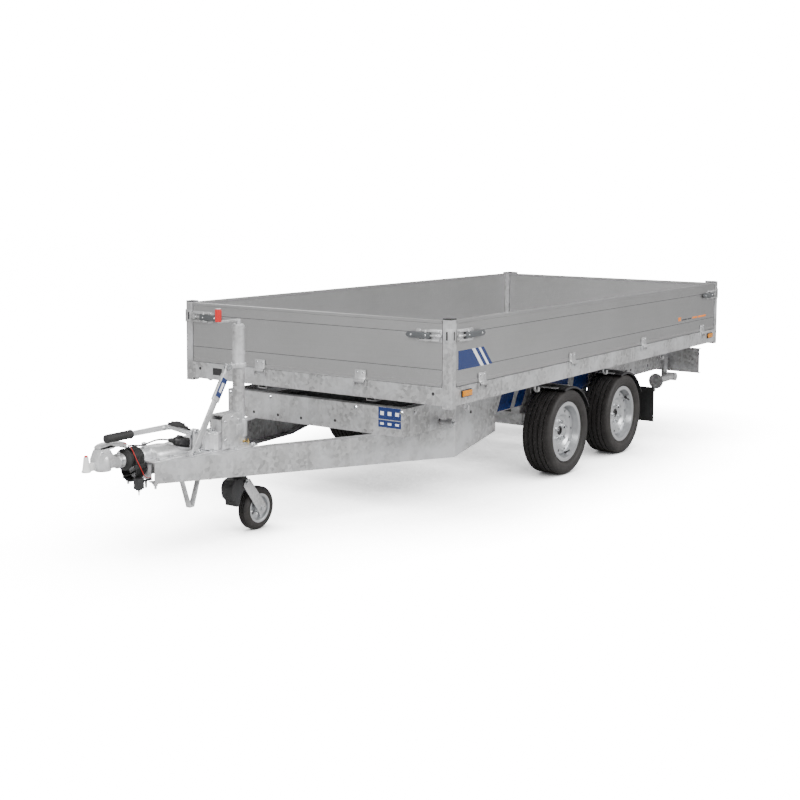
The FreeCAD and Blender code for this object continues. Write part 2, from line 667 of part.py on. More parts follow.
def jack():
    clamp_z = "(arm_top_z + 4)"
    cross = block("jack_plate", ("150", "420", "6"),
                  ("jack_x - 110", "jack_y - 90", "arm_top_z + 0.3"))
    hole = rod("jack_plate_hole", "jack_tube_radius + running_gap", "560",
               ("jack_x", "jack_y", "arm_top_z - 100"))
    tower = block("jack_tower", ("46", "84", "150"),
                  ("jack_x - 76", "jack_y - 42", "arm_top_z + 0.3"))
    collar = rod("jack_collar", "jack_tube_radius + 9", "90",
                 ("jack_x", "jack_y", f"{clamp_z} + 40"))
    low = 300
    tube = rod("jack_tube", "jack_tube_radius", f"jack_top_z - {low}",
               ("jack_x", "jack_y", low))
    bore = rod("jack_bore", "jack_inner_radius + running_gap", "150",
               ("jack_x", "jack_y", low))
    hub = rod("crank_hub", "12", "34", ("jack_x", "jack_y", "jack_top_z"))
    arm = block("crank_arm", ("150", "18", "8"), ("jack_x - 150", "jack_y - 9",
                                                  "jack_top_z + 26"))
    knob = rod("crank_knob", "14", "66", ("jack_x - 140", "jack_y", "jack_top_z + 30"))
    node(fuse("jack_upright", [cut("jack_tube_bored", tube, bore), hub, arm, knob]),
         "jack_post")
    stay_foot_x = "(jack_x - 325)"
    stay_top_x = "(jack_x - 66)"
    stay_top_z = "(arm_top_z + 400)"
    run = f"({stay_top_x} - {stay_foot_x})"
    rise = f"({stay_top_z} - arm_top_z - 12)"
    stay = rod("stay_bar", "11", f"sqrt({run} ^ 2 + {rise} ^ 2)", (0, 0, 0))
    place(stay, (stay_foot_x, "jack_y - 8", "arm_top_z + 12"), (0, 1, 0), f"atan({run} / {rise})")
    foot = block("stay_foot", (f"jack_x - 100 - {stay_foot_x}", "34", "6"),
                 (f"{stay_foot_x} - 10", "jack_y - 25", "arm_top_z + running_gap"))
    ring = rod("stay_ring", "jack_tube_radius + 8", "24", ("jack_x", "jack_y",
                                                           f"{stay_top_z} - 14"))
    lug = block("stay_lug", ("62", "16", "24"),
                ("jack_x - 78", "jack_y - 16", f"{stay_top_z} - 14"))
    node(cut("jack_clamp_solid", fuse("jack_clamp_all", [
        cross, tower, collar, stay, foot, ring, lug]), hole), "jack_clamp")

    inner = rod("jack_inner", "jack_inner_radius", "204",
                ("jack_x", "jack_y", low - 60))
    crown = rod("fork_crown", "jack_inner_radius + 8", "26",
                ("jack_x", "jack_y", low - 60 - 26))
    cheeks = []
    for i, sign in enumerate((-1, 1)):
        outline = ((-30, 214), (30, 214), ("jack_trail + 22", "jack_wheel_radius + 22"),
                   ("jack_trail + 22", "jack_wheel_radius - 18"),
                   ("jack_trail - 22", "jack_wheel_radius - 18"))
        y = f"jack_y + {sign} * (jack_wheel_width / 2 + 9) + 3"
        cheeks.append(plate(f"fork_cheek_{i}", outline, "6", ("jack_x", y, 0), "XZ_Plane"))
    bridge = block("fork_bridge", ("60", "jack_wheel_width + 24", "8"),
                   ("jack_x - 30", "jack_y - jack_wheel_width / 2 - 12", 206))
    spindle = rod("fork_spindle", "10", "jack_wheel_width + 24",
                  ("jack_x + jack_trail", "jack_y - jack_wheel_width / 2 - 12",
                   "jack_wheel_radius"), "y")
    node(fuse("fork", [inner, crown, bridge, spindle] + cheeks), "jack_fork")

    centre = ("jack_x + jack_trail", "jack_y", "jack_wheel_radius")
    half = "jack_wheel_width / 2"
    tyre = turned("jack_tyre_ring", (
        (f"-{half} + 4", "jack_wheel_radius * 0.66"), (f"-{half}", "jack_wheel_radius * 0.75"),
        (f"-{half} + 2", "jack_wheel_radius - 14"), (f"-{half} + 16", "jack_wheel_radius"),
        (f"{half} - 16", "jack_wheel_radius"), (f"{half} - 2", "jack_wheel_radius - 14"),
        (half, "jack_wheel_radius * 0.75"), (f"{half} - 4", "jack_wheel_radius * 0.66")), centre)
    node(tyre, "jack_tyre")
    rim = turned("jack_rim_disc", (
        ("-22", "10 + running_gap"), ("-22", "24"), ("-6", "30"),
        ("-6", "jack_wheel_radius * 0.55"), (f"-{half} + 4", "jack_wheel_radius * 0.6"),
        (f"-{half} + 4", "jack_wheel_radius * 0.66"), (f"{half} - 4", "jack_wheel_radius * 0.66"),
        (f"{half} - 4", "jack_wheel_radius * 0.6"), ("6", "jack_wheel_radius * 0.55"),
        ("6", "30"), ("22", "24"), ("22", "10 + running_gap")), centre)
    node(rim, "jack_rim")

    fall = "((frame_bottom_z - arm_bend_depth - arm_top_z + arm_nose_depth) / (arm_bend_x - arm_nose_x))"
    loop_z = "(arm_top_z - arm_nose_depth - running_gap)"
    outline = ((0, f"{fall} * 150"), (10, f"{fall} * 150"), (52, -132), (62, -132),
               (104, f"{fall} * 254"), (114, f"{fall} * 254"), (72, -142), (42, -142))
    node(plate("loop_bar", outline, "24", ("arm_nose_x + 140", "-121", loop_z), "XZ_Plane"),
         "nose_loop")


# Wheels and axles

def wheels():
    half = "(tyre_width / 2)"
    tread = "(tread_width / 2)"
    rim_half = "(rim_width / 2)"
    for axle, x in (("front", "wheel_front_x"), ("rear", "wheel_rear_x")):
        centre = (x, f"-{HUB_Y}", "tyre_radius")
        tyre = turned(f"tyre_{axle}", (
            (f"-{rim_half} + running_gap", "seat_radius + running_gap"),
            (f"-{rim_half} + running_gap", "rim_flange_radius"),
            (f"-{rim_half} - 12", "rim_flange_radius + 8"),
            (f"-{half}", "(rim_flange_radius + tyre_radius) / 2"),
            (f"-{half} + 5", "tyre_radius - 18"), (f"-{tread}", "tyre_radius - 4"),
            (f"-{tread} + 20", "tyre_radius"), (f"{tread} - 20", "tyre_radius"),
            (tread, "tyre_radius - 4"), (f"{half} - 5", "tyre_radius - 18"),
            (half, "(rim_flange_radius + tyre_radius) / 2"),
            (f"{rim_half} + 12", "rim_flange_radius + 8"),
            (f"{rim_half} - running_gap", "rim_flange_radius"),
            (f"{rim_half} - running_gap", "seat_radius + running_gap")), centre)
        node(tyre, f"tyre_{axle}_left")
        node(mirror(f"tyre_{axle}_other", tyre), f"tyre_{axle}_right")
        rim = turned(f"rim_{axle}", (
            (f"-{rim_half} - 6", "rim_flange_radius"), (f"-{rim_half}", "rim_flange_radius"),
            (f"-{rim_half}", "seat_radius"), ("-24", "well_radius"), ("24", "well_radius"),
            (rim_half, "seat_radius"), (rim_half, "rim_flange_radius"),
            (f"{rim_half} + 6", "rim_flange_radius"), (f"{rim_half} + 6", "seat_radius - rim_wall"),
            ("26", "well_radius - rim_wall"), ("-16", "well_radius - rim_wall"),
            ("-disc_out + 6", "disc_radius"), ("-disc_out + 6", "disc_radius - 36"),
            ("-disc_out + 20", "nave_radius"), ("-disc_out + 20", "hub_bore_radius"),
            ("-disc_out + 14", "hub_bore_radius"), ("-disc_out + 14", "nave_radius + 3"),
            ("-disc_out", "disc_radius - 34"), ("-disc_out", "disc_radius"),
            ("-26", "well_radius - rim_wall"),
            (f"-{rim_half} - 6", "seat_radius - rim_wall")), centre)
        holes = []
        for i in range(10):
            turn = 36 * i
            holes.append(rod(
                f"hand_hole_{axle}_{i}", "9", "60",
                (f"{x} + (disc_radius - 16) * cos({turn})", f"-{HUB_Y} - 70",
                 f"tyre_radius + (disc_radius - 16) * sin({turn})"), "y"))
        rim_cut = cut(f"rim_{axle}_cut", rim, *holes)
        node(rim_cut, f"rim_{axle}_left")
        node(mirror(f"rim_{axle}_other", rim_cut), f"rim_{axle}_right")


def axles():
    for axle, x in (("front", "wheel_front_x"), ("rear", "wheel_rear_x")):
        tube_x = f"({x} - swing_length)"
        inner = "(frame_half_width + 8)"
        tube = block(f"{axle}_tube", ("axle_tube", f"2 * {inner}", "axle_tube"),
                     (f"{tube_x} - axle_tube / 2", f"-{inner}", "axle_tube_z - axle_tube / 2"))
        pieces = [tube]
        for i, sign in enumerate((-1, 1)):
            arm_y = f"{sign} * ({inner} + swing_thickness / 2) + swing_thickness / 2"
            outline = (("-32", "-34"), ("swing_length - 10", f"tyre_radius - axle_tube_z - 30"),
                       ("swing_length + 34", "tyre_radius - axle_tube_z - 20"),
                       ("swing_length + 34", "tyre_radius - axle_tube_z + 24"),
                       ("swing_length - 6", "tyre_radius - axle_tube_z + 34"), ("26", "36"),
                       ("-30", "34"))
            pieces.append(plate(f"{axle}_swing_{i}", outline, "swing_thickness",
                                (tube_x, arm_y, "axle_tube_z"), "XZ_Plane"))
            saddle_y = f"{sign} * (frame_half_width - frame_flange / 2) - frame_flange / 2"
            pieces.append(block(
                f"{axle}_saddle_{i}", ("110", "frame_flange",
                                       "frame_bottom_z - axle_tube_z - axle_tube / 2"),
                (f"{tube_x} - 55", saddle_y, "axle_tube_z + axle_tube / 2")))
            hub_start = f"({inner} + swing_thickness)"
            hub_long = f"({HUB_Y} + 22 - {inner} - swing_thickness - running_gap)"
            start = f"-{hub_start} - {hub_long}" if sign < 0 else hub_start
            pieces.append(rod(f"{axle}_drum_{i}", "hub_radius - 26", hub_long,
                              (x, start, "tyre_radius"), "y"))
        node(fuse(f"{axle}_axle", pieces), f"axle_{axle}")


def mudguards():
    """An arc over each wheel on a strap from the rail, and a flap behind each pair."""
    arcs = []
    inner = "(tyre_radius + guard_gap)"
    width = "(tyre_width + 14)"
    for axle, x in (("front", "wheel_front_x"), ("rear", "wheel_rear_x")):
        arc = turned(f"guard_arc_{axle}", (
            (f"-{width} / 2", inner), (f"{width} / 2", inner),
            (f"{width} / 2", f"{inner} + guard_thickness"),
            (f"-{width} / 2", f"{inner} + guard_thickness")),
            (x, f"-{HUB_Y}", "tyre_radius"), sweep=180)
        strap = block(f"guard_strap_{axle}",
                      ("40", f"{HUB_Y} + {width} / 2 - frame_half_width", "5"),
                      (f"{x} - 20", f"-{HUB_Y} - {width} / 2",
                       f"tyre_radius + {inner} + guard_thickness - 1"))
        arc = fuse(f"guard_{axle}", [arc, strap])
        arcs += [arc, mirror(f"guard_{axle}_other", arc)]
    node(group("guards", arcs), "mudguards")
    flap = block("flap", ("6", "tyre_width", "240"),
                 ("wheel_rear_x + 467", "-wheel_face_y", "141"))
    node(group("flaps", [flap, mirror("flap_other", flap)]), "mud_flaps")


def rail_brackets():
    """Galvanised brackets on the rails' outer faces: for the flaps and the prop stands."""
    flap_x = "(wheel_rear_x + 473 + running_gap)"
    arm = block("flap_arm", ("24", "wheel_face_y - frame_half_width", "24"),
                (flap_x, "-wheel_face_y", "350"))
    lug = block("flap_lug", ("24", "24", "130"), (flap_x, "-frame_half_width - 24", "350"))
    flap_bracket = fuse("flap_bracket", [arm, lug])
    reach = "(stand_out - stand_tube_radius - 6 - running_gap)"
    arm = block("stand_arm", ("56", reach, "52"),
                ("stand_x - 28", f"-frame_half_width - {reach}", "stand_z - 26"))
    lug = block("stand_lug", ("56", "24", "170"),
                ("stand_x - 28", "-frame_half_width - 24", "stand_z - 26"))
    stand_bracket = fuse("stand_bracket", [arm, lug])
    node(group("brackets", [
        flap_bracket, mirror("flap_bracket_other", flap_bracket),
        stand_bracket, mirror("stand_bracket_other", stand_bracket)]), "rail_brackets")


# Tail: tipping pins, lamp bar and prop stands

def tipping_pivots():
    """Rear pins on the chassis, side pins at its front, and rests for the bed."""
    seat = "(frame_bottom_z + frame_height - 20 - tip_axis_z)"
    fixed = []
    for i, sign in enumerate((-1, 1)):
        pin = rod(f"tip_pin_{i}", "tip_pin_radius", "90",
                  ("tip_axis_x", f"{sign} * 510 - 45", "tip_axis_z"), "y")
        outline = ((-110, seat), (-46, seat), (-46, "-tip_pin_radius - 0.5"),
                   (24, "-tip_pin_radius - 0.5"), (24, 14), (-14, 26), (-110, -16))
        ear = plate(f"tip_ear_{i}", outline, "10",
                    ("tip_axis_x", f"{sign} * 550 + 5", "tip_axis_z"), "XZ_Plane")
        fixed.append(fuse(f"tip_{i}", [pin, ear]))
        neck = rod(f"side_neck_{i}", "14", "60",
                   ("frame_front_x + 345", f"{sign} * (frame_half_width + 30) - 30",
                    "frame_bottom_z + 34"), "y")
        head = rod(f"side_head_{i}", "25", "34",
                   ("frame_front_x + 345", f"{sign} * (frame_half_width + 66) - 17",
                    "frame_bottom_z + 34"), "y")
        fixed.append(fuse(f"side_pin_{i}", [neck, head]))
        fixed.append(block(f"rest_{i}", ("60", "60", f"{BEAM_Z} - running_gap - {MEMBER_TOP}"),
                           (MEMBERS[0][0], f"{sign} * beam_spacing / 2 - 30", MEMBER_TOP)))
    for i, sign in enumerate((-1, 1)):
        top = f"({MEMBER_TOP} - ram_foot_z)"
        outline = ((-70, top), (200, top), (200, f"{top} - 110"), (40, -34), (-40, -34),
                   (-70, f"{top} - 130"))
        side = plate(f"cradle_side_{i}", outline, "10",
                     ("ram_x", f"{sign} * (ram_radius + 15) + 5", "ram_foot_z"), "XZ_Plane")
        eye = rod(f"cradle_eye_{i}", "ram_pin_radius + running_gap", "2 * ram_radius + 60",
                  ("ram_x", "-ram_radius - 30", "ram_foot_z"), "y")
        fixed.append(cut(f"cradle_{i}", side, eye))
    fixed.append(rod("ram_pin", "ram_pin_radius", "2 * ram_radius + 48",
                     ("ram_x", "-ram_radius - 24", "ram_foot_z"), "y"))
    node(group("pivots", fixed), "chassis_pivots")


def bed_pivots():
    """The bed's bearings on the rear pins, and the yoke over the ram's eye."""
    fixed = []
    for i, sign in enumerate((-1, 1)):
        for j, middle in enumerate((485, 520)):
            y = f"{sign} * {middle} + 5"
            top = f"({CROSS_Z} - tip_axis_z)"
            outline = ((-40, top), (-32, -18), (-14, -34), (14, -34), (32, -18), (40, top))
            ear = plate(f"bearing_ear_{i}_{j}", outline, "10",
                        ("tip_axis_x", y, "tip_axis_z"), "XZ_Plane")
            hole = rod(f"bearing_hole_{i}_{j}", "tip_pin_radius + running_gap", "40",
                       ("tip_axis_x", f"{y} - 20", "tip_axis_z"), "y")
            fixed.append(cut(f"bearing_{i}_{j}", ear, hole))
    yoke = [block(f"yoke_{i}", ("70", "10", f"{CROSS_Z} - ram_eye_z + 18"),
                  ("ram_x - 35", f"{sign} * 36 - 5", "ram_eye_z - 18"))
            for i, sign in enumerate((-1, 1))]
    bridge = block("yoke_bridge", ("70", "beam_spacing - beam_width", "10"),
                   ("ram_x - 35", "-(beam_spacing - beam_width) / 2", f"{CROSS_Z} - 10"))
    fixed.append(fuse("yoke", yoke + [bridge]))
    node(group("bearings", fixed), "bed_pivots")


def tail():
    bar = block("lamp_bar_outer", ("lamp_bar_depth", "2 * lamp_bar_half", "lamp_bar_height"),
                ("frame_rear_x", "-lamp_bar_half", "lamp_bar_bottom_z"))
    back = block("lamp_bar_hollow", ("lamp_bar_depth", "2 * lamp_bar_half + 2",
                                     "lamp_bar_height - 8"),
                 ("frame_rear_x + 4", "-lamp_bar_half - 1", "lamp_bar_bottom_z + 4"))
    notches = [block(f"lamp_bar_notch_{i}", ("lamp_bar_depth + 2", "110", "30"),
                     ("frame_rear_x - 1", f"{sign} * 505 - 55",
                      "lamp_bar_bottom_z + lamp_bar_height - 26"))
               for i, sign in enumerate((-1, 1))]
    node(cut("lamp_bar", bar, back, *notches), "rear_lamp_bar")
    lamps = [block(f"lamp_{i}", ("lamp_bar_depth - 4", "230", "120"),
                   ("frame_rear_x + 4", f"{sign} * (lamp_bar_half - 130) - 115",
                    "lamp_bar_bottom_z + 24")) for i, sign in enumerate((-1, 1))]
    node(group("lamps", lamps), "rear_lamps")


def prop_stands():
    middle = "(-frame_half_width - stand_out)"
    tube = rod("stand_tube", "stand_tube_radius", "stand_length - 6",
               ("stand_x - stand_length + 6", middle, "stand_z"), "x")
    foot = rod("stand_foot", "stand_foot_radius", "6",
               ("stand_x - stand_length", middle, "stand_z"), "x")
    pivot = rod("stand_pivot", "stand_tube_radius + 5", "2 * stand_tube_radius + 12",
                ("stand_x", f"{middle} - stand_tube_radius - 6", "stand_z"), "y")
    stand = fuse("stand", [tube, foot, pivot])
    node(stand, "prop_stand_left")
    node(mirror("stand_other", stand), "prop_stand_right")


# Lifting ram: a barrel on a foot pivot, and stages that slide out of each other

def ram():
    foot = rod("ram_foot", "34", "60", ("ram_x", "-30", "ram_foot_z"), "y")
    bore = rod("ram_foot_bore", "ram_pin_radius + running_gap", "80", ("ram_x", "-40", "ram_foot_z"), "y")
    barrel = rod("ram_tube", "ram_radius", "ram_barrel_length - 30",
                 ("ram_x", 0, "ram_foot_z + 30"))
    hollow = rod("ram_hollow", "ram_radius - ram_stage_step + running_gap",
                 "ram_barrel_length", ("ram_x", 0, "ram_foot_z + 50"))
    node(cut("ram_body", fuse("ram_solid", [foot, barrel]), bore, hollow), "ram_barrel")
    base = "(ram_foot_z + 52)"
    top = "(ram_foot_z + ram_barrel_length)"
    for i in (1, 2, 3):
        radius = f"(ram_radius - {i} * ram_stage_step)"
        height = f"({top} + {i} * ram_stage_rise - {base} - {i} * 4)"
        sleeve = rod(f"stage_{i}", radius, height, ("ram_x", 0, f"{base} + {i} * 4"))
        if i < 3:
            hollow = rod(f"stage_hollow_{i}", f"{radius} - ram_stage_step + running_gap",
                         height, ("ram_x", 0, f"{base} + {i} * 4 + 2"))
            node(cut(f"stage_tube_{i}", sleeve, hollow), f"ram_stage_{i}")
        else:
            eye = rod("ram_eye", "22", "44", ("ram_x", "-22", "ram_eye_z"), "y")
            node(fuse("stage_tube_3", [sleeve, eye]), "ram_stage_3")


bed_edge_rails()
bed_floor()
bed_posts()
bed_crosses()
boards()
bed_fittings()
chassis_rails()
front_member()
cross_members()
drawbar_arms()
coupling()
handbrake()
jack()
wheels()
axles()
mudguards()
rail_brackets()
tipping_pivots()
bed_pivots()
tail()
prop_stands()
ram()
doc.recompute()

faults = [o.Name for o in doc.Objects if "Invalid" in o.State or "Error" in o.State]
if faults:
    raise RuntimeError("failed to build: " + ", ".join(faults))
for thing in NODES:
    if thing.Shape.isNull() or not thing.Shape.isValid() or not thing.Shape.Solids:
        raise RuntimeError("no valid solid: " + thing.Label)

os.makedirs("parts", exist_ok=True)
for thing in NODES:
    thing.Shape.exportStep(os.path.join("parts", thing.Label + ".step"))
print(len(NODES), "nodes")
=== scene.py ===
import bpy
import bmesh
import json
from math import copysign, cos, hypot, pi, radians, sin, tau
from mathutils import Matrix, Vector

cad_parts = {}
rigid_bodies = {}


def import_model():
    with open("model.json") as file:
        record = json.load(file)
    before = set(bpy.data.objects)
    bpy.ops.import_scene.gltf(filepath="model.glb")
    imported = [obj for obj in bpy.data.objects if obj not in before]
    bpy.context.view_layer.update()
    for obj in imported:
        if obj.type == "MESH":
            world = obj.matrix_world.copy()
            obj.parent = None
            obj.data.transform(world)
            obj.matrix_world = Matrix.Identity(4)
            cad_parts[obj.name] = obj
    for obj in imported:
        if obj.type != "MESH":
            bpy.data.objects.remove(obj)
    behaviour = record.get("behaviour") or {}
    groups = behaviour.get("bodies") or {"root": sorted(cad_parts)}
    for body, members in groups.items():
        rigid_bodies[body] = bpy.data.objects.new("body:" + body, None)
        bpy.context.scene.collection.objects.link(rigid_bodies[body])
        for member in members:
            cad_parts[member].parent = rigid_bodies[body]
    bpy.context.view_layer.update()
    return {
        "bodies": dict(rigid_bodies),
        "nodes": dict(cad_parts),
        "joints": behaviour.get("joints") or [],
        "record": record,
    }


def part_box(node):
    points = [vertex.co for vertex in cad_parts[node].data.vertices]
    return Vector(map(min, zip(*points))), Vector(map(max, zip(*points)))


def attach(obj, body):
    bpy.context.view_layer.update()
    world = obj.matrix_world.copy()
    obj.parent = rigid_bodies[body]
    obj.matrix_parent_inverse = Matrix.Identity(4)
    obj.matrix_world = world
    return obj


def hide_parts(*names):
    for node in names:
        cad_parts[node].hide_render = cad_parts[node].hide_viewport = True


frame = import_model()
SLOT_OF = {row["node"]: row["material_slot"] for row in frame["record"]["subparts"]}


# Materials

class Look:
    """A material under construction: a Principled shader with noise fields feeding it."""

    def __init__(self, name, colour, roughness, metallic=0.0, **sockets):
        self.material = bpy.data.materials.new(name)
        self.material.use_nodes = True
        self.tree = self.material.node_tree
        self.shader = self.tree.nodes["Principled BSDF"]
        self.shader.inputs["Base Color"].default_value = (*colour, 1)
        self.shader.inputs["Roughness"].default_value = roughness
        self.shader.inputs["Metallic"].default_value = metallic
        for socket, amount in sockets.items():
            self.shader.inputs[socket.replace("_", " ")].default_value = amount
        self.link = self.tree.links.new
        self.place = self.node("TexCoord").outputs["Object"]
        self.height = None

    def node(self, kind, **given):
        """A new node, with each given socket linked to a field or set to a value."""
        made = self.tree.nodes.new("ShaderNode" + kind)
        for socket, amount in given.items():
            entry = made.inputs[socket.replace("_", " ")]
            if hasattr(amount, "is_output"):
                self.link(amount, entry)
            else:
                entry.default_value = amount
        return made

    def noise(self, scale, detail=4, stretch=None):
        """Cloudy noise, drawn out along an axis where its stretch is small."""
        place = self.place
        if stretch:
            place = self.node("Mapping", Scale=stretch, Vector=place).outputs["Vector"]
        return self.node("TexNoise", Scale=scale, Detail=detail, Roughness=0.5,
                         Vector=place).outputs["Fac"]

    def cells(self, scale):
        """Patches of one grey each."""
        field = self.node("TexVoronoi", Scale=scale, Vector=self.place)
        return self.node("RGBToBW", Color=field.outputs["Color"]).outputs["Val"]

    def ramp(self, field, *stops):
        """Maps a field through two stops of position and grey."""
        ramp = self.node("ValToRGB", Fac=field)
        for mark, (position, grey) in zip(ramp.color_ramp.elements, stops):
            mark.position = position
            mark.color = (grey, grey, grey, 1)
        return ramp.outputs["Color"]

    def mix(self, first, second, share):
        """From the first shade to the second, by a field."""
        mixer = self.node("Mix")
        mixer.data_type = "RGBA"
        self.link(share, mixer.inputs[0])
        for socket, given in ((6, first), (7, second)):
            if hasattr(given, "is_output"):
                self.link(given, mixer.inputs[socket])
            else:
                mixer.inputs[socket].default_value = (*given, 1)
        return mixer.outputs[2]

    def coat(self, colour, field, low, high):
        """The base colour, and a field that spreads the roughness."""
        self.link(colour, self.shader.inputs["Base Color"])
        spread = self.node("MapRange", Value=field, To_Min=low, To_Max=high)
        self.link(spread.outputs["Result"], self.shader.inputs["Roughness"])

    def bump(self, field, strength, depth):
        """Relief from a field, on top of what the look has."""
        bump = self.node("Bump", Strength=strength, Distance=depth, Height=field)
        if self.height is not None:
            self.link(self.height, bump.inputs["Normal"])
        self.height = bump.outputs["Normal"]
        self.link(self.height, self.shader.inputs["Normal"])


def galvanised(name, dark=0.36, light=0.60, rough=(0.34, 0.56), spangle=55):
    """Hot-dip zinc: crystal patches, cloudy bloom and runs down the steel."""
    look = Look(name, (light, light, light), 0.45, 0.72)
    crystals = look.ramp(look.cells(spangle), (0.1, dark), (0.9, light))
    clouds = look.noise(5.5, 5)
    bloom = look.ramp(clouds, (0.42, 0.0), (0.68, 1.0))
    runs = look.ramp(look.noise(9, 3, stretch=(3, 3, 0.35)), (0.56, 0.0), (0.74, 0.45))
    base = look.mix(crystals, (light * 1.12, light * 1.13, light * 1.15), bloom)
    base = look.mix(base, (light * 1.3, light * 1.3, light * 1.31), runs)
    look.coat(base, clouds, *rough)
    look.bump(look.noise(70, 3), 0.12, 0.0006)
    look.bump(look.cells(spangle), 0.05, 0.0003)
    return look.material


def anodised(name, shade, stretch):
    """Satin anodised extrusion with fine drawn lines along its length."""
    look = Look(name, (shade, shade, shade), 0.38, 0.85)
    lines = look.noise(220, 3, stretch=stretch)
    haze = look.noise(2.2, 3)
    base = look.mix((shade * 0.93,) * 3, (shade * 1.05,) * 3, lines)
    base = look.mix(base, (shade * 1.06, shade * 1.06, shade * 1.07), look.ramp(
        haze, (0.4, 0.0), (0.75, 0.5)))
    look.coat(base, haze, 0.34, 0.44)
    look.bump(lines, 0.04, 0.0003)
    return look.material


def rubber(name, shade, rough=(0.55, 0.75)):
    """Matt rubber with dust in patches."""
    look = Look(name, shade, 0.65)
    dust = look.noise(14, 5)
    patches = look.ramp(dust, (0.45, 0.0), (0.8, 0.7))
    look.coat(look.mix(shade, tuple(c * 2 + 0.006 for c in shade), patches), dust, *rough)
    look.bump(look.noise(500, 2), 0.12, 0.0004)
    return look.material


def plastic(name, shade, rough=(0.36, 0.5)):
    """Moulded plastic with a fine grain."""
    look = Look(name, shade, 0.45)
    field = look.noise(24, 4)
    light = tuple(min(1, c * 1.25 + 0.004) for c in shade)
    look.coat(look.mix(shade, light, field), field, *rough)
    look.bump(look.noise(900, 2), 0.1, 0.0003)
    return look.material


def painted(name, shade, metallic, rough, flake=0.0):
    """Smooth paint, film or plating, with metal flakes where asked."""
    look = Look(name, shade, 0.3, metallic)
    field = look.noise(30, 4)
    base = look.mix(shade, tuple(min(1, c * 1.12) for c in shade), field)
    if flake:
        base = look.mix(base, tuple(min(1, c * 1.35) for c in shade), look.ramp(
            look.cells(1500), (0.8, 0.0), (1.0, flake)))
    look.coat(base, field, *rough)
    look.bump(look.noise(260, 2), 0.04, 0.0003)
    return look.material


def lens(name, shade):
    """A clear coloured lens with fine ribs."""
    look = Look(name, shade, 0.12, 0.0, Transmission_Weight=0.25, IOR=1.49)
    wave = look.node("TexWave", Scale=60, Vector=look.place)
    look.link(look.mix(tuple(c * 0.82 for c in shade), shade, wave.outputs["Fac"]),
              look.shader.inputs["Base Color"])
    look.bump(wave.outputs["Fac"], 0.3, 0.0008)
    return look.material


LOOKS = {
    "galvanised": galvanised("galvanised"),
    "floor_steel": galvanised("floor_steel", 0.40, 0.58, (0.42, 0.6), 40),
    "aluminium": anodised("aluminium_side", 0.44, (0.02, 1, 1)),
    "tyre": rubber("tyre_rubber", (0.019, 0.017, 0.016)),
    "rim": painted("rim_silver", (0.52, 0.53, 0.54), 0.75, (0.26, 0.4), 0.4),
    "black_plastic": plastic("black_plastic", (0.018, 0.018, 0.019)),
    "rubber": rubber("moulded_rubber", (0.014, 0.014, 0.014)),
    "amber_lens": lens("amber_lens", (0.95, 0.34, 0.01)),
    "red_lens": lens("red_lens", (0.55, 0.012, 0.012)),
    "zinc_cast": galvanised("zinc_cast", 0.52, 0.72, (0.3, 0.48), 160),
    "zinc_lever": galvanised("zinc_lever", 0.5, 0.68, (0.28, 0.42), 120),
    "black_steel": painted("black_steel", (0.02, 0.02, 0.021), 0.0, (0.35, 0.5)),
    "polished_steel": painted("polished_steel", (0.62, 0.63, 0.64), 1.0, (0.12, 0.2)),
    "cable": rubber("cable_sheath", (0.012, 0.012, 0.012), (0.4, 0.55)),
    "red_cable": plastic("red_sheath", (0.50, 0.018, 0.014), (0.3, 0.42)),
    "red_plastic": plastic("red_plastic", (0.48, 0.012, 0.012), (0.28, 0.4)),
    "white_plastic": plastic("white_plastic", (0.74, 0.74, 0.73), (0.35, 0.5)),
    "brass": painted("brass", (0.60, 0.44, 0.17), 1.0, (0.2, 0.35)),
    "lever_grey": painted("lever_grey", (0.10, 0.105, 0.11), 0.35, (0.32, 0.46)),
    "blue_film": painted("blue_film", (0.010, 0.026, 0.115), 0.0, (0.2, 0.3)),
    "white_film": painted("white_film", (0.78, 0.79, 0.80), 0.0, (0.2, 0.3)),
    "orange_film": painted("orange_film", (0.80, 0.22, 0.02), 0.0, (0.2, 0.3)),
    # Dark print on the boards, and painted shade in the grooves between the planks
    "dark_print_and_groove_shade": painted("dark_print_and_groove_shade", (0.05, 0.05, 0.055), 0.0, (0.2, 0.3)),
}
END_BOARDS = anodised("aluminium_end", 0.46, (1, 0.02, 1))

for name, thing in frame["nodes"].items():
    look = END_BOARDS if name in ("board_front", "board_rear") else LOOKS[SLOT_OF[name]]
    thing.data.materials.clear()
    thing.data.materials.append(look)


# Mesh making: places in millimetres, the trailer's frame

X, Y, Z = Vector((1, 0, 0)), Vector((0, 1, 0)), Vector((0, 0, 1))


def rect(left, right, low, high):
    return (left, low), (right, low), (right, high), (left, high)


def placed(name, data):
    """A new object in the scene."""
    thing = bpy.data.objects.new(name, data)
    bpy.context.collection.objects.link(thing)
    return thing


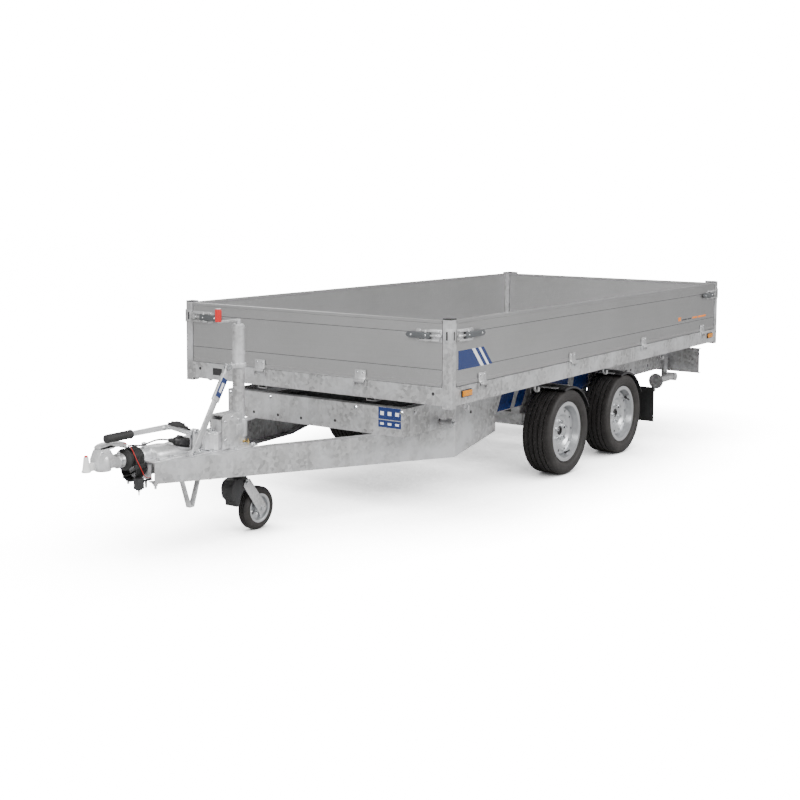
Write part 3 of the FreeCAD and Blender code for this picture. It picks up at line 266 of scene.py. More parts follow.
class Shell:
    """Gathers turned, flat and tubular forms into one piece."""

    def __init__(self):
        self.verts = []
        self.faces = []
        self.marks = []

    def add(self, verts, faces, look=0):
        base = len(self.verts)
        self.verts += [Vector(vert) for vert in verts]
        self.faces += [tuple(base + i for i in face) for face in faces]
        self.marks += [look] * len(faces)
        return self

    def spin(self, profile, centre, axis, segments, turn=0.0, warp=None):
        """A turned form: its profile is of (along, radius), and closes at radius 0."""
        side = axis.orthogonal().normalized()
        other = axis.cross(side)
        verts, faces = [], []
        for i in range(segments):
            angle = tau * i / segments + turn
            out = side * cos(angle) + other * sin(angle)
            for j, (along, radius) in enumerate(profile):
                drop = warp(i, j) if warp else 0.0
                verts.append(Vector(centre) + axis * along + out * (radius - drop))
        rows = len(profile)
        for i in range(segments):
            k = (i + 1) % segments
            for j in range(rows - 1):
                faces.append((i * rows + j, i * rows + j + 1, k * rows + j + 1, k * rows + j))
        return self.add(verts, faces)

    def rod(self, radius, ends, centre, axis, segments):
        """A plain round bar between two distances along the axis."""
        low, high = ends
        return self.spin(((low, 0), (low, radius), (high, radius), (high, 0)), centre, axis,
                         segments)

    def slab(self, outline, origin, u, v, thick, look=0, chamfer=0.0):
        """An outline of (u, v) raised by thick along u x v, its edges eased."""
        normal = u.cross(v)
        mid_u = sum(p[0] for p in outline) / len(outline)
        mid_v = sum(p[1] for p in outline) / len(outline)
        layers = [(0.0, chamfer), (chamfer, 0.0), (thick - chamfer, 0.0), (thick, chamfer)]
        if not chamfer:
            layers = [(0.0, 0.0), (thick, 0.0)]
        sections = []
        for height, inset in layers:
            section = []
            for a, b in outline:
                share = 1 - inset / (hypot(a - mid_u, b - mid_v) or 1.0)
                section.append(Vector(origin) + u * (mid_u + (a - mid_u) * share)
                               + v * (mid_v + (b - mid_v) * share) + normal * height)
            sections.append(section)
        return self.loft(sections, look)

    def bolt(self, place, axis, size, washer=True):
        """A hexagon head on its washer; size is across the corners."""
        half = size / 2
        base = size * 0.12 if washer else 0.0
        if washer:
            self.rod(half * 1.35, (0, base), place, axis, 20)
        return self.spin(((base, 0), (base, half), (size * 0.45, half), (size * 0.52, half * 0.86),
                          (size * 0.52, 0)), place, axis, 6)

    def dome(self, place, axis, radius):
        """A round-headed screw or rivet."""
        profile = [(0, radius)] + [
            (radius * 0.55 * sin(a), radius * cos(a)) for a in (0.4, 0.8, 1.2, 1.571)]
        return self.spin([(0, 0)] + profile, place, axis, 14)

    def box(self, x, y, z):
        """A block between two places along each axis."""
        return self.slab(rect(*sorted(x), *sorted(y)), (0, 0, z[0]), X, Y, z[1] - z[0])

    def loft(self, sections, look=0):
        """Closed outlines of equal count, joined one to the next and capped."""
        count = len(sections[0])
        verts = [point for section in sections for point in section]
        faces = []
        for row in range(len(sections) - 1):
            for i in range(count):
                k = (i + 1) % count
                low, high = row * count, (row + 1) * count
                faces.append((low + i, low + k, high + k, high + i))
        faces.append(tuple(reversed(range(count))))
        faces.append(tuple((len(sections) - 1) * count + i for i in range(count)))
        return self.add(verts, faces, look)

    def build(self, name, body, slot, *looks, smooth=38, ease=0.0):
        """Makes the piece, with its slot's own look where none is named."""
        mesh = bpy.data.meshes.new(name)
        mesh.from_pydata([vert * 0.001 for vert in self.verts], [], self.faces)
        for look in looks or (slot,):
            mesh.materials.append(LOOKS[look])
        for face, mark in zip(mesh.polygons, self.marks):
            face.material_index = mark
            face.use_smooth = True
        tidy = bmesh.new()
        tidy.from_mesh(mesh)
        bmesh.ops.remove_doubles(tidy, verts=tidy.verts, dist=0.00002)
        bmesh.ops.recalc_face_normals(tidy, faces=tidy.faces)
        if ease:
            sharp = [edge for edge in tidy.edges
                     if len(edge.link_faces) == 2 and edge.calc_face_angle() > radians(35)]
            bmesh.ops.bevel(tidy, geom=sharp, offset=ease * 0.001, segments=2, profile=0.5,
                            affect="EDGES", clamp_overlap=True)
        tidy.to_mesh(mesh)
        tidy.free()
        mesh.set_sharp_from_angle(angle=radians(smooth))
        thing = placed(name, mesh)
        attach(thing, body)
        return thing


# Cords: the light cable wound on the bellows, and the red breakaway cable

SHAFT_Z = 470
COIL_DROP = 53
GLAND = (-2306, 5.6, 402)
CABLE_TAIL = ((-2299, -16.5, 522.5), (-2281, -14.5, 521.5), (-2248, -14, 528), (-2200, -13, 533.5),
              (-2151.1, -12, 527), (-2125, -12, 520.2))
BREAKAWAY = (
    (-2409, -18, 552), (-2408, -34, 550), (-2401, -47, 541), (-2392, -56, 522),
    (-2381, -60, 493), (-2366, -61.5, 462), (-2349, -61, 434), (-2335, -60, 407),
    (-2323, -59, 389), (-2311, -58, 379), (-2298, -57, 375), (-2286, -57, 375))
# Round one turn from its lowest point: degrees, and 1 where it rides on the shaft
STATIONS = ([(a, 0) for a in (0, 22.5, 45, 67.5, 90)] + [(90, 1)]
            + [(a, 1) for a in (112.5, 135, 157.5, 180, 202.5, 225, 247.5, 270)] + [(270, 0)]
            + [(a, 0) for a in (292.5, 315, 337.5)])


def winding():
    """From the gland to the front, six turns back to the rear, and a last one over them."""
    points = [GLAND, (-2322, 5.6, 401.5), (-2338, 6.5, 397), (-2351, 11.5, 390),
              (-2360.5, 21, 385.5), (-2365.5, 33, 388.5)]
    per_turn = len(STATIONS)
    front, rear, first_lap, cross_lap = -2366.5, -2314.5, 3 / per_turn, 6.15
    for k in range(3, 6 * per_turn + 8):
        angle, upper = STATIONS[k % per_turn]
        lap = k / per_turn
        share = min(1.0, (lap - first_lap) / (cross_lap - first_lap))
        crossing = max(0.0, lap - 6.2)
        climb = min(1.0, max(0.0, lap - 6.06) / 0.12)
        x = front + (rear - front) * share - 100 * crossing
        low_side = max(0.0, cos(radians(angle - 15)))
        radius = 48.2 + 4.1 * min(1, 1.35 * low_side) + 8.4 * climb
        slack = 2.5 * (0.5 + 0.5 * sin(2.1 * (k // per_turn) + 0.5))
        if lap < 0.35:
            radius, slack = 44.6 + 24 * max(0.0, lap - 0.2), 0.0
        middle = SHAFT_Z if upper else SHAFT_Z - COIL_DROP - slack
        points.append((x, radius * sin(radians(angle)),
                       middle - radius * cos(radians(angle))))
    return points + [(-2344, 21, 522.5), (-2345.5, 6, 527), (-2340, -7, 528.2), (-2329, -15, 527),
                     (-2314, -17.5, 525)] + list(CABLE_TAIL)


def cord_line(name, points, diameter, look):
    """One smooth open spline through the route, with endpoints kept."""
    curve = bpy.data.curves.new(name, "CURVE")
    curve.dimensions = "3D"
    curve.resolution_u = 5
    curve.bevel_depth = diameter / 2 * 0.001
    curve.bevel_resolution = 3
    curve.use_fill_caps = True
    spline = curve.splines.new("NURBS")
    spline.points.add(len(points) - 1)
    for mark, point in zip(spline.points, points):
        mark.co = (point[0] * 0.001, point[1] * 0.001, point[2] * 0.001, 1)
    spline.order_u = 3
    spline.use_endpoint_u = True
    curve.materials.append(LOOKS[look])
    line = placed(name, curve)
    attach(line, "chassis")
    return line


def plug():
    """A ribbed plug with its tapering tail, and the lid on its back."""
    tail, along = Vector(CABLE_TAIL[-1]), Vector((26.1, 0, -6.8)).normalized()
    outline = [(0, 0), (0, 4.2)]
    for i in range(5):
        outline += [(2 + i * 4.6, 8 + i), (4.4 + i * 4.6, 8 + i), (4.6 + i * 4.6, 6.6 + i * 0.9)]
    outline += [(27, 9.5), (37, 10), (43, 19), (58, 23.5), (60, 24), (64, 24)]
    for i in range(7):
        outline += [(66 + i * 9, 24), (67 + i * 9, 22.6), (70 + i * 9, 22.6), (71 + i * 9, 24)]
    outline += [(130, 24), (141, 23), (146, 20.5), (146.6, 17), (142, 16), (142, 0)]
    shell = Shell().spin(outline, tail, along, 30)
    shell.spin(((-15, 0), (-15, 11), (-13, 12.6), (13, 12.6), (15, 11), (15, 0)),
               tail + along * 78 + Z * 19, Y, 20)
    return shell.build("light_plug", "chassis", "rubber", "black_plastic")


def strain_relief():
    """A tapered sleeve of rings where the cable leaves its gland."""
    outline = [(-26, 0), (-26, 4.3)]
    for i in range(5):
        at = -25 + i * 5
        outline += [(at, 5.4 + i * 0.8), (at + 2.6, 5.6 + i * 0.8), (at + 3, 4.8 + i * 0.8)]
    outline += [(0.5, 9.4), (19, 9.6), (20, 8), (20, 0)]
    return Shell().spin(outline, GLAND, X, 22).build(
        "gland_sleeve", "chassis", "rubber", "black_plastic")


def coil_tie():
    """A band that holds the turns together at their front side."""
    ring = []
    for i in range(20):
        angle = tau * i / 20
        ring.append((-2340.5 + 33 * copysign(abs(cos(angle)) ** 0.35, cos(angle)),
                     -49 + 8.6 * copysign(abs(sin(angle)) ** 0.5, sin(angle))))
    sections = [[(x, y, z) for x, y in ring] for z in (425, 429, 443, 447)]
    return Shell().loft(sections).build("coil_tie", "chassis", "rubber", ease=0.8)


def cords():
    cable = cord_line("light_cable", winding(), 8, "cable")
    plug()
    strain_relief()
    coil_tie()
    red = cord_line("safety_cable", BREAKAWAY[::-1], 3.5, "red_cable")


# Drawbar end: coupling, overrun housing and handbrake

BALL = Vector((-2515, 0, 452))
NOSE_X = -2304
FLANGE_Z = 449.3
FLANGE_TOP = 455.3


def coupling_head():
    """Cup, cheeks, sleeve and shaft, with the rivets of the cheeks."""
    head = Shell()
    head.spin(((25, 0), (25, 10), (20, 17), (8, 24), (-12, 25.6), (-12, 34.5), (-10, 36), (20, 36),
               (46, 33), (60, 26), (70, 14), (73, 0)), BALL, Z, 36)
    head.slab(((-45, -2), (-51, 12), (-51, 48), (-33, 83), (-28, 88), (14, 88), (20, 83), (45, 48),
               (75, 38), (75, 0)), BALL + Y * 28, X, Z, 56)
    head.box((-2571, -2551), (-13, 13), (450, 488))
    head.rod(27, (0, 46), BALL + X * 30 + Z * 18, X, 28)
    ring = ((0, 0), (0, 31), (2, 33.5), (6, 34.5), (12, 33), (26, 33), (31, 35), (33, 33),
            (33, 0))
    head.spin(ring, BALL + X * 74 + Z * 18, X, 32)
    piece = head.build("head_casting", "chassis", "zinc_cast", ease=3)
    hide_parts("coupling_head")
    steel = Shell()
    for x, z in ((-2541, 529), (-2496, 529), (-2515, 497)):
        steel.dome((x, -28, z), -Y, 5.5).dome((x, 28, z), Y, 5.5)
    steel.bolt((-2425, -32.5, 470), -Y, 17).bolt((-2425, 32.5, 470), Y, 17)
    steel.bolt((-2424, 0, 502.5), Z, 15)
    steel.build("head_bolts", "chassis", "polished_steel")


def coupling_handle():
    """The pressed handle over the head, open below, with ribs on its top."""
    handle = Shell()
    outline = ((-28, 0), (-36, 8), (-30, 16), (-16, 22), (8, 26), (112, 16), (124, 8), (126, -14),
               (114, -14), (106, -4), (36, 2), (14, 0))
    handle.slab(outline, (-2515, 20, 540.3), X, Z, 40)
    for side in (-20, 16):
        handle.slab(((-30, -8), (-34, 10), (30, 16), (60, 4), (50, -4)), (-2515, side + 4, 540.3),
                    X, Z, 4)
    piece = handle.build("head_handle", "chassis", "zinc_cast", ease=2.5)
    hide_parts("coupling_handle")
    ribs = Shell()
    for i in range(5):
        ribs.box((-2492 + i * 15, -2488 + i * 15), (-15, 15), (564.2 - i * 1.45, 566.6 - i * 1.45))
    ribs.build("handle_ribs", "chassis", "zinc_cast", "zinc_lever", ease=0.8)


def soft_bumper():
    """The white bumper before the ball, and its red button."""
    cap = ((-2, 0), (-2, 20), (0, 21), (4, 20.6), (9, 17.6), (28, 15), (50, 12.6), (62, 11.6),
           (66, 10), (67.6, 7), (67.6, 0))
    Shell().spin(cap, (-2611, 0, 452), Z, 36).build(
        "bumper_cap", "chassis", "zinc_cast", "white_plastic")
    web = Shell().box((-2605, -2562), (-7, 7), (451, 488))
    web.build("bumper_web", "chassis", "zinc_cast", "white_plastic", ease=3)
    Shell().spin(((0, 0), (0, 8.6), (4, 8.6), (6, 7), (6.6, 0)), (-2611, 0, 519), Z, 20).build(
        "bumper_button", "chassis", "red_lens", "red_plastic")


def bellows():
    """A broad front fold, and small folds under the cable's winding."""
    def fold(start, end, low, high):
        return [(start + (end - start) * i / 6,
                 low + (high - low) * sin(pi * i / 6) ** 0.7) for i in range(7)]

    outline = [(0, 28), (0, 38), (3, 41)] + fold(5, 31, 40, 51) + fold(31, 46, 38, 42)
    for i in range(4):
        outline += fold(46 + i * 14, 60 + i * 14, 34, 40)
    outline += [(104, 40), (104, 28)]
    piece = Shell().spin(outline, (NOSE_X - 104, 0, 470), X, 56).build(
        "bellows", "chassis", "rubber", smooth=60)
    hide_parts("gaiter")


def overrun_housing():
    """The cast tube that runs into a tapering saddle on its flange."""
    cast = Shell()
    cast.spin(((0, 28), (0, 38), (2, 40), (8, 41.5), (14, 40), (130, 40), (130, 28)),
              (NOSE_X, 0, 470), X, 40)
    rows = ((54, 70, 505), (66, 77, 508), (90, 78, 508.5), (150, 78, 507), (176, 76, 503),
            (205, 72, 492), (230, 66, 478), (252, 61, 466), (267, 58, 460))
    sections = []
    for along, half, crest in rows:
        outline = []
        for i in range(17):
            angle = pi * i / 16
            wide = copysign(abs(cos(angle)) ** 0.85, cos(angle))
            outline.append((NOSE_X + along, half * wide,
                            FLANGE_TOP - 1 + (crest - FLANGE_TOP + 1) * sin(angle) ** 0.8))
        sections.append(outline)
    cast.loft(sections)
    cast.box((NOSE_X, -1984), (-106, 106), (FLANGE_Z, FLANGE_TOP))
    cast.box((-2286, -2280), (-62, 14), (362, 440))
    cast.rod(12, (0, 24), (-2268, 0, 505), Z, 20)
    outline = ((-28, -90), (34, -90), (30, -20), (14, 12), (-12, 14), (-24, -4))
    for y in (-45.2, -63.8):
        cast.slab(outline, (-1992, y, 545), X, Z, 5)
    piece = cast.build("housing_casting", "chassis", "zinc_cast", ease=1.2, smooth=50)
    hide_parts("overrun_housing")
    steel = Shell()
    steel.bolt((-1992, -68.8, 545), -Y, 22).bolt((-1992, -45.2, 545), Y, 22)
    for x in (-2268, -2178, -2006):
        for y in (-88, 88):
            steel.bolt((x, y, FLANGE_TOP), Z, 22)
    steel.dome((-2268, 0, 529), Z, 7).bolt((-2290, -20, 508), Z, 12, washer=False)
    for sign in (-1, 1):
        steel.bolt((-2285, sign * 90, 351.5), -Z, 24)
        steel.rod(6, (0, 26), (-2285, sign * 90, 351), -Z, 14)
        steel.bolt((-1992, sign * 150, 333), -Z, 20)
    steel.build("housing_bolts", "chassis", "polished_steel")


def junction():
    """The black holder under the winding, with the two cable ends that hang from it, and a black
    disc of painted shade behind the winding's lower loop.
    """
    block = Shell().box((-2374, -2338), (-74, -40), (334, 384))
    block.box((-2368, -2344), (-68, -46), (328, 336))
    block.box((-2340, -2284), (-70, -56), (364, 372))
    block.spin(((0, 0), (0, 6), (30, 4.5), (34, 2), (34, 0)), (-2318, -63, 366), -Z, 12)
    block.build("plug_holder", "chassis", "black_plastic", ease=2)
    # A black disc behind the lower loop of the winding: painted shade seen through the loop
    loop_shade_outline = [(39 * cos(tau * i / 28), 417 + 39 * sin(tau * i / 28))
             for i in range(28)]
    Shell().slab(loop_shade_outline, (-2296, 0, 0), Y, Z, 6).build(
        "loop_shade_disc", "chassis", "black_plastic", ease=1.5)
    end = ((0, 0), (0, 5), (9, 5), (10, 3), (24, 3), (26, 0))
    Shell().spin(end, (-2356, -57, 329), -Z, 12).build("cable_ends", "chassis", "polished_steel")


def handbrake():
    """Lever, ribbed grip and the folded cover over the ratchet."""
    pivot = Vector((-1992, -53, 545))
    lever = Shell()
    outline = ((-419, 63), (-186, 61), (7, 3), (16, -10), (2, -21), (-58, -7), (-158, 33),
               (-186, 36), (-419, 39))
    lever.slab(outline, pivot, X, Z, 8)
    lever.box((-2411, -2178), (-62.5, -51.5), (584.5, 587))
    lever.box((-2411, -2178), (-62.5, -51.5), (605.5, 608))
    lever.rod(9, (0, 40), (-2172, -57, 596), -X, 16)
    piece = lever.build("brake_lever", "chassis", "zinc_lever", ease=1)
    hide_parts("handbrake_lever")
    grip = [(0, 0), (0, 15), (2, 19), (12, 20)]
    for at in (12.5 * i for i in range(9)):
        grip += [(18 + at, 20), (20 + at, 19), (25 + at, 19), (27 + at, 20)]
    grip += [(140, 20), (143, 21.5), (148, 21), (148, 0)]
    Shell().spin(grip, (-2549, -57, 596), X, 30).build(
        "brake_grip", "chassis", "rubber")
    cover = Shell()
    top = ((-174, 57.9), (-160, 64), (-138, 67), (-112, 64), (-88, 53), (-66, 35), (-48, 19.9))
    cover.slab(top, pivot + Y * 13, X, Z, 34)
    for i in range(6):
        a, b = Vector((top[i + 1][0], 0, top[i + 1][1])), Vector((-150 + i * 17, 0, 44 - i * 8))
        cover.rod(5, (-18.5, 18.5), pivot - Y * 4 + a * 0.93 + b * 0.07, Y, 12)
    cover.build("brake_cover", "chassis", "rubber", ease=4)
    rivets = Shell()
    for x, z in ((-2190, 596), (-2168, 590)):
        rivets.bolt((x, -62.6, z), -Y, 15)
    rivets.build("brake_rivets", "chassis", "polished_steel")


# Jockey wheel

POST = Vector((-1754, -120, 0))
JOCKEY = Vector((-1633, -120, 109))


def jockey_clamp():
    """The tower that clamps the post, the drum beside it, and the steadying bar."""
    tower = Shell()
    tower.box((-1864, -1714), (-210, 210), (FLANGE_Z, FLANGE_TOP))
    outline = ((-161, 0), (-20, 0), (-20, 166), (-136, 166), (-150, 161), (-158, 152), (-161, 140))
    for y in (-154, -78):
        tower.slab(outline, (POST.x, y, FLANGE_TOP), X, Z, 8)
    tower.box((-1915, -1907), (-160, -80), (FLANGE_TOP, 598))
    tower.box((-1900, -1776), (-158, -82), (613, 620))
    tower.box((-1820, -1766), (-164, -76), (515, 565))
    tower.spin(((0, 31), (0, 38), (2, 40), (88, 40), (90, 38), (90, 31)),
                    POST + Z * 493, Z, 32)
    tower.box((-1982, -1882), (-158, -68), (FLANGE_Z, FLANGE_TOP))
    tower.box((-2105, -1924), (-148, -108), (FLANGE_Z, FLANGE_TOP))
    tower.spin(((0, 31), (0, 36), (2, 38), (22, 38), (24, 36), (24, 31)),
                    POST + Z * 835, Z, 32)
    tower.box((-1846, -1776), (-138, -118), (836, 858))
    piece = tower.build("jockey_tower", "chassis", "galvanised", ease=1.5)
    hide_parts("jack_clamp")

    drum = Shell()
    base = (-1935, -108, FLANGE_TOP)
    drum.spin(((0, 0), (0, 40), (3, 44), (80, 44), (84, 41), (84, 0)), base, Z, 12,
              turn=radians(15))
    drum.rod(47, (84, 88), base, Z, 24)
    drum.build("jockey_drum", "chassis", "zinc_cast", ease=1.5, smooth=20)

    foot, top = Vector((-2080, 0, FLANGE_TOP)), Vector((-1832, 0, 849))
    slope = (top - foot).normalized()
    across = Vector((slope.z, 0, -slope.x))
    stay = Shell()
    stay.slab(((6, -16.5), (462, -16.5), (470, 0), (462, 16.5), (6, 16.5)),
              foot + Y * -133, slope, across, 10)
    stay.slab(rect(279, 419, -22, 22), foot + Y * -136, slope, across, 16)
    stay.box((-2102, -2058), (-140, -116), (FLANGE_TOP, 474))
    stay.build("jockey_stay", "chassis", "galvanised", ease=1.2)
    label = Shell()
    label.slab(rect(302, 400, -17, 17), foot + Y * -136.3, slope, across, 0.3)
    label.slab(rect(326, 376, -7, 9), foot + Y * -136.6, slope, across, 0.3, look=1)
    label.build("stay_mark", "chassis", "galvanised", "blue_film", "white_film")

    steel = Shell()
    for x, y in ((-1850, -190), (-1728, -190), (-1850, 190), (-1728, 190), (-1970, -84),
                 (-1970, -144)):
        steel.bolt((x, y, FLANGE_TOP), Z, 20)
    steel.spin(((0, 0), (0, 7), (22, 7), (24, 5), (24, 0)), (-1935, -108, 543), Z, 16)
    steel.bolt((-1935, -108, 543), Z, 28)
    for y in (-70, -146):
        steel.bolt((-1935, y, 543), Z, 14)
    steel.bolt((-1838, -138, 847), -Y, 24).bolt((-1838, -118, 847), Y, 24)
    steel.bolt((-2080, -140, 464), -Y, 20)
    for x, z in ((-1893, 500), (-1893, 588), (-1800, 588), (-1846, 606)):
        steel.dome((x, -162, z), -Y, 7)
    steel.build("jockey_bolts", "chassis", "polished_steel")


def jockey_post():
    """What the post carries: its lock pin, collar and red crank grip."""
    Shell().spin(((0, 0), (0, 6), (4, 6), (5, 4.4), (26, 4.4), (27, 6), (30, 6), (30, 0)),
                 (-1750, -150, 471), -Y, 14).spin(
        ((-14, 0), (-14, 2.4), (14, 2.4), (14, 0)), (-1750, -176, 471), Z, 10).spin(
        ((0, 31), (0, 33), (10, 33), (10, 31)), POST + Z * 466, Z, 28).build(
        "post_pin", "chassis", "polished_steel", "brass")
    grip = ((0, 0), (0, 13), (2, 15.5), (12, 15), (34, 15.6), (54, 16), (62, 14.5), (65.6, 10),
            (65.8, 0))
    Shell().spin(grip, (-1894, -120, 1070), Z, 26).build(
        "crank_grip", "chassis", "red_lens", "red_plastic")
    collar = Shell()
    collar.spin(((0, 24), (0, 32.5), (14, 32.5), (16, 30), (22, 26), (24, 14), (24, 12)),
                POST + Z * 1028, Z, 32)
    collar.spin(((0, 31), (0, 33), (16, 33), (16, 31)), POST + Z * 902, Z, 32)
    collar.build("post_collar", "chassis", "galvanised")


def jockey_fork():
    """The black swivel casting, its two links, the axle and their bolts."""
    casting = Shell()
    outline = ((-64, 178), (-84, 196), (-90, 216), (-92, 246), (-86, 264), (-76, 278), (-56, 286),
               (22, 286), (28, 268), (28, 250), (4, 236), (-24, 204), (-32, 184), (-34, 166),
               (-44, 150), (-60, 152))
    casting.slab(outline, POST + Y * 37, X, Z, 74)
    casting.rod(24, (240, 440), POST, Z, 28)
    casting.spin(((284, 24), (284, 36), (294, 36), (296, 34), (296, 24)), POST, Z, 28)
    piece = casting.build("fork_casting", "jockey_fork", "black_steel", ease=5)
    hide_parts("jack_fork")
    links = Shell()
    outline = ((-12, 246), (-8, 262), (4, 274), (32, 278), (151, 125), (154, 112), (150, 98),
               (136, 85), (108, 84), (99, 93))
    for side in (43, -37):
        links.slab(outline, POST + Y * side, X, Z, 6)
    links.rod(10, (-43, 43), JOCKEY, Y, 20)
    links.build("fork_links", "jockey_fork", "galvanised", "zinc_lever", ease=2)
    bolts = Shell()
    for side in (-1, 1):
        bolts.bolt(JOCKEY + Y * side * 43, Y * side, 26)
        bolts.bolt(POST + Vector((8, side * 43, 262)), Y * side, 22)
    bolts.build("fork_bolts", "jockey_fork", "polished_steel")


def jockey_wheel():
    """A grooved solid tyre on a cast rim with five windows."""
    tread = []
    for mid in (-12, 0, 12):
        tread += [(mid - 3, 108.9), (mid - 2, 105.4), (mid + 2, 105.4), (mid + 3, 108.9)]
    wall = [(27, 72), (31, 82), (30.6, 92), (28, 99), (22, 105.6), (17, 108.2)]
    profile = [(-y, radius) for y, radius in wall] + tread + wall[::-1]
    tyre = Shell().spin(profile, JOCKEY, Y, 72).build(
        "jockey_tyre", "jockey_wheel", "tyre", smooth=30)
    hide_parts("jack_tyre")
    rim = Shell()
    rim.spin(((-27, 61), (-29, 66), (-29, 74), (-26, 74), (26, 74), (29, 74), (29, 66), (27, 61),
              (6, 57), (-6, 57), (-27, 61)), JOCKEY, Y, 56)
    rim.spin(((-34, 10.5), (-34, 17), (-26, 23), (26, 23), (34, 17), (34, 10.5)), JOCKEY, Y, 28)
    for i in range(5):
        start = radians(72 * i + 8)
        arc = [(r * cos(start + radians(a)), r * sin(start + radians(a)))
               for r, turns in ((60, range(0, 46, 5)), (20, range(45, -1, -15))) for a in turns]
        rim.slab(arc, JOCKEY + Y * 8, X, Z, 16)
    piece = rim.build("jockey_rim", "jockey_wheel", "rim", ease=1.5)
    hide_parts("jack_rim")


# Wheels

HUB_Y = 749
TYRE_RADIUS = 262.5
WHEELS = tuple((f"{axle}_{side}", x, sign) for axle, x in (("front", 390), ("rear", 1174))
               for side, sign in (("left", -1), ("right", 1)))


def tyre_profile():
    """From the outer bead over the tread to the inner bead, with four grooves."""
    wall = [(71, 166), (71.5, 183), (76, 188), (81, 191), (81.6, 194), (84.6, 195.4),
            (85.4, 198), (91, 204), (95, 212), (96.5, 220), (95.8, 222), (96.4, 224),
            (96.6, 233), (95.4, 235), (95, 243), (91, 250), (86, 255), (80, 258.2), (73, 259.8)]
    ribs = []
    for groove, depth in ((48, 8), (17, 8.5)):
        crown = TYRE_RADIUS - 0.0007 * groove ** 2
        ribs += [(groove + 4.6, crown), (groove + 3.4, crown - depth),
                 (groove - 3.4, crown - depth), (groove - 4.6, crown)]
    half = wall + [(66, 260.6), (58, 261)] + ribs[:4]
    half += [(38, 262), (30, 262.3)] + ribs[4:] + [(6, 262.5)]
    return [(-a, r) for a, r in half] + [(a, r) for a, r in reversed(half)]


def tyres():
    profile = tyre_profile()
    treads = {j for j, (along, radius) in enumerate(profile) if radius > 259.5 and abs(along) < 78}

    def sipe(i, j):
        if j not in treads:
            return 0.0
        along = profile[j][0]
        shift = (3 if abs(along) > 50 else 0) + (2 if along > 0 else 0)
        return 1.7 if (i + shift) % 6 == 0 else 0.0

    for wheel, x, sign in WHEELS:
        shell = Shell()
        shell.spin(profile, (x, sign * HUB_Y, TYRE_RADIUS), Y * -sign, 324, warp=sipe)
        tyre = shell.build(f"tread_{wheel}", f"wheel_{wheel}", "tyre", smooth=28)
        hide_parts(f"tyre_{wheel}")


def radial(angle):
    """From a wheel's middle outwards, by its angle."""
    return Vector((cos(angle), 0, sin(angle)))


def wheel_details():
    """Wheel nuts, a domed cap in the bore, black as painted shade of that recess, and the valve.
    """
    for wheel, x, sign in WHEELS:
        out = Y * sign
        hub = Vector((x, sign * HUB_Y, TYRE_RADIUS))
        nuts = Shell()
        for i in range(5):
            turn = radians(72 * i + (18 if x < 700 else 40))
            spot = hub + radial(turn) * 56 + out * 28
            nuts.spin(((0, 0), (0, 12.5), (17, 12.5), (21, 10), (21, 6), (14, 5), (14, 0)),
                      spot, out, 6)
            nuts.spin(((0, 0), (0, 17), (3, 17), (5, 13.5), (5, 0)), spot, out, 24)
        nuts.build(f"nuts_{wheel}", f"wheel_{wheel}", "polished_steel")
        # The cap is black as painted shade of the bore's recess; the valve is black of its own
        dark = Shell()
        dark.spin(((21.9, 0), (21.9, 27), (30, 26), (34, 20), (34, 17), (26, 16), (26, 0)),
                  hub, out, 24)
        lean = radians(-72 if x < 700 else 38)
        foot = hub + radial(lean) * 146 + out * 48
        aim = (out * 0.86 - radial(lean) * 0.5).normalized()
        dark.spin(((-4, 0), (-4, 8), (2, 8), (5, 5.5), (24, 4.4), (25, 5.6), (34, 5.6), (36, 4),
                   (36, 0)), foot, aim, 14)
        dark.build(f"valve_{wheel}", f"wheel_{wheel}", "rubber", "black_plastic")


# Bed and chassis

SIDE_FACE = 915
FRAME_FRONT = -1039
RAIL_FACE = 615
BED_FRONT, BED_REAR, BED_SIDE = -1062, 2614, 918.3
FILM = 0.3
RAIL_BOTTOM = round(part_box("bed_rails")[0][2] * 1000, 1)
LATCH_Z = 944
SIDE_HINGES = tuple(776 + step * 1025 for step in (-1.5, -0.5, 0.5, 1.5))
STRAP = ((-5, -4), (5, -4), (8, 0), (12.7, 14), (12.7, 60), (7.7, 60), (7.7, 22), (2, 10), (-5, 8))
# Body, board's end, which way along it, the axis, the board's face, where the lever ends
LATCHES = (
    ("board_left", -1007, 1, X, -SIDE_FACE, 253), ("board_left", 2559, -1, X, -SIDE_FACE, 253),
    ("board_right", -1007, 1, X, SIDE_FACE, 253), ("board_right", 2559, -1, X, SIDE_FACE, 253),
    ("board_front", -863, 1, Y, -1059, 215), ("board_front", 863, -1, Y, -1059, 215))


def mudguards():
    """Short guards over the wheels, each on two arms from its rail."""
    work, arms = Shell(), Shell()
    inner, outer = 275.5, 279
    for _, x, sign in WHEELS:
        sections = []
        for i in range(21):
            turn = radians(-16 + 4 * i)
            aim = Vector((sin(turn), 0, cos(turn)))
            sections.append([
                Vector((x, sign * y, TYRE_RADIUS)) + aim * radius for y, radius in (
                    (640, inner), (846, inner), (852, inner - 9), (855, inner - 9),
                    (851, outer - 1), (847, outer), (640, outer))])
        work.loft(sections)
        for dx in (-70, 70):
            arms.box((x + dx - 15, x + dx + 15), (sign * 615.3, sign * 800), (532, 537))
            arms.box((x + dx - 15, x + dx + 15), (sign * 615.3, sign * 620), (480, 537))
    piece = work.build("guards", "chassis", "black_plastic", smooth=30)
    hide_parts("mudguards")
    arms.build("guard_arms", "chassis", "galvanised", ease=0.8)


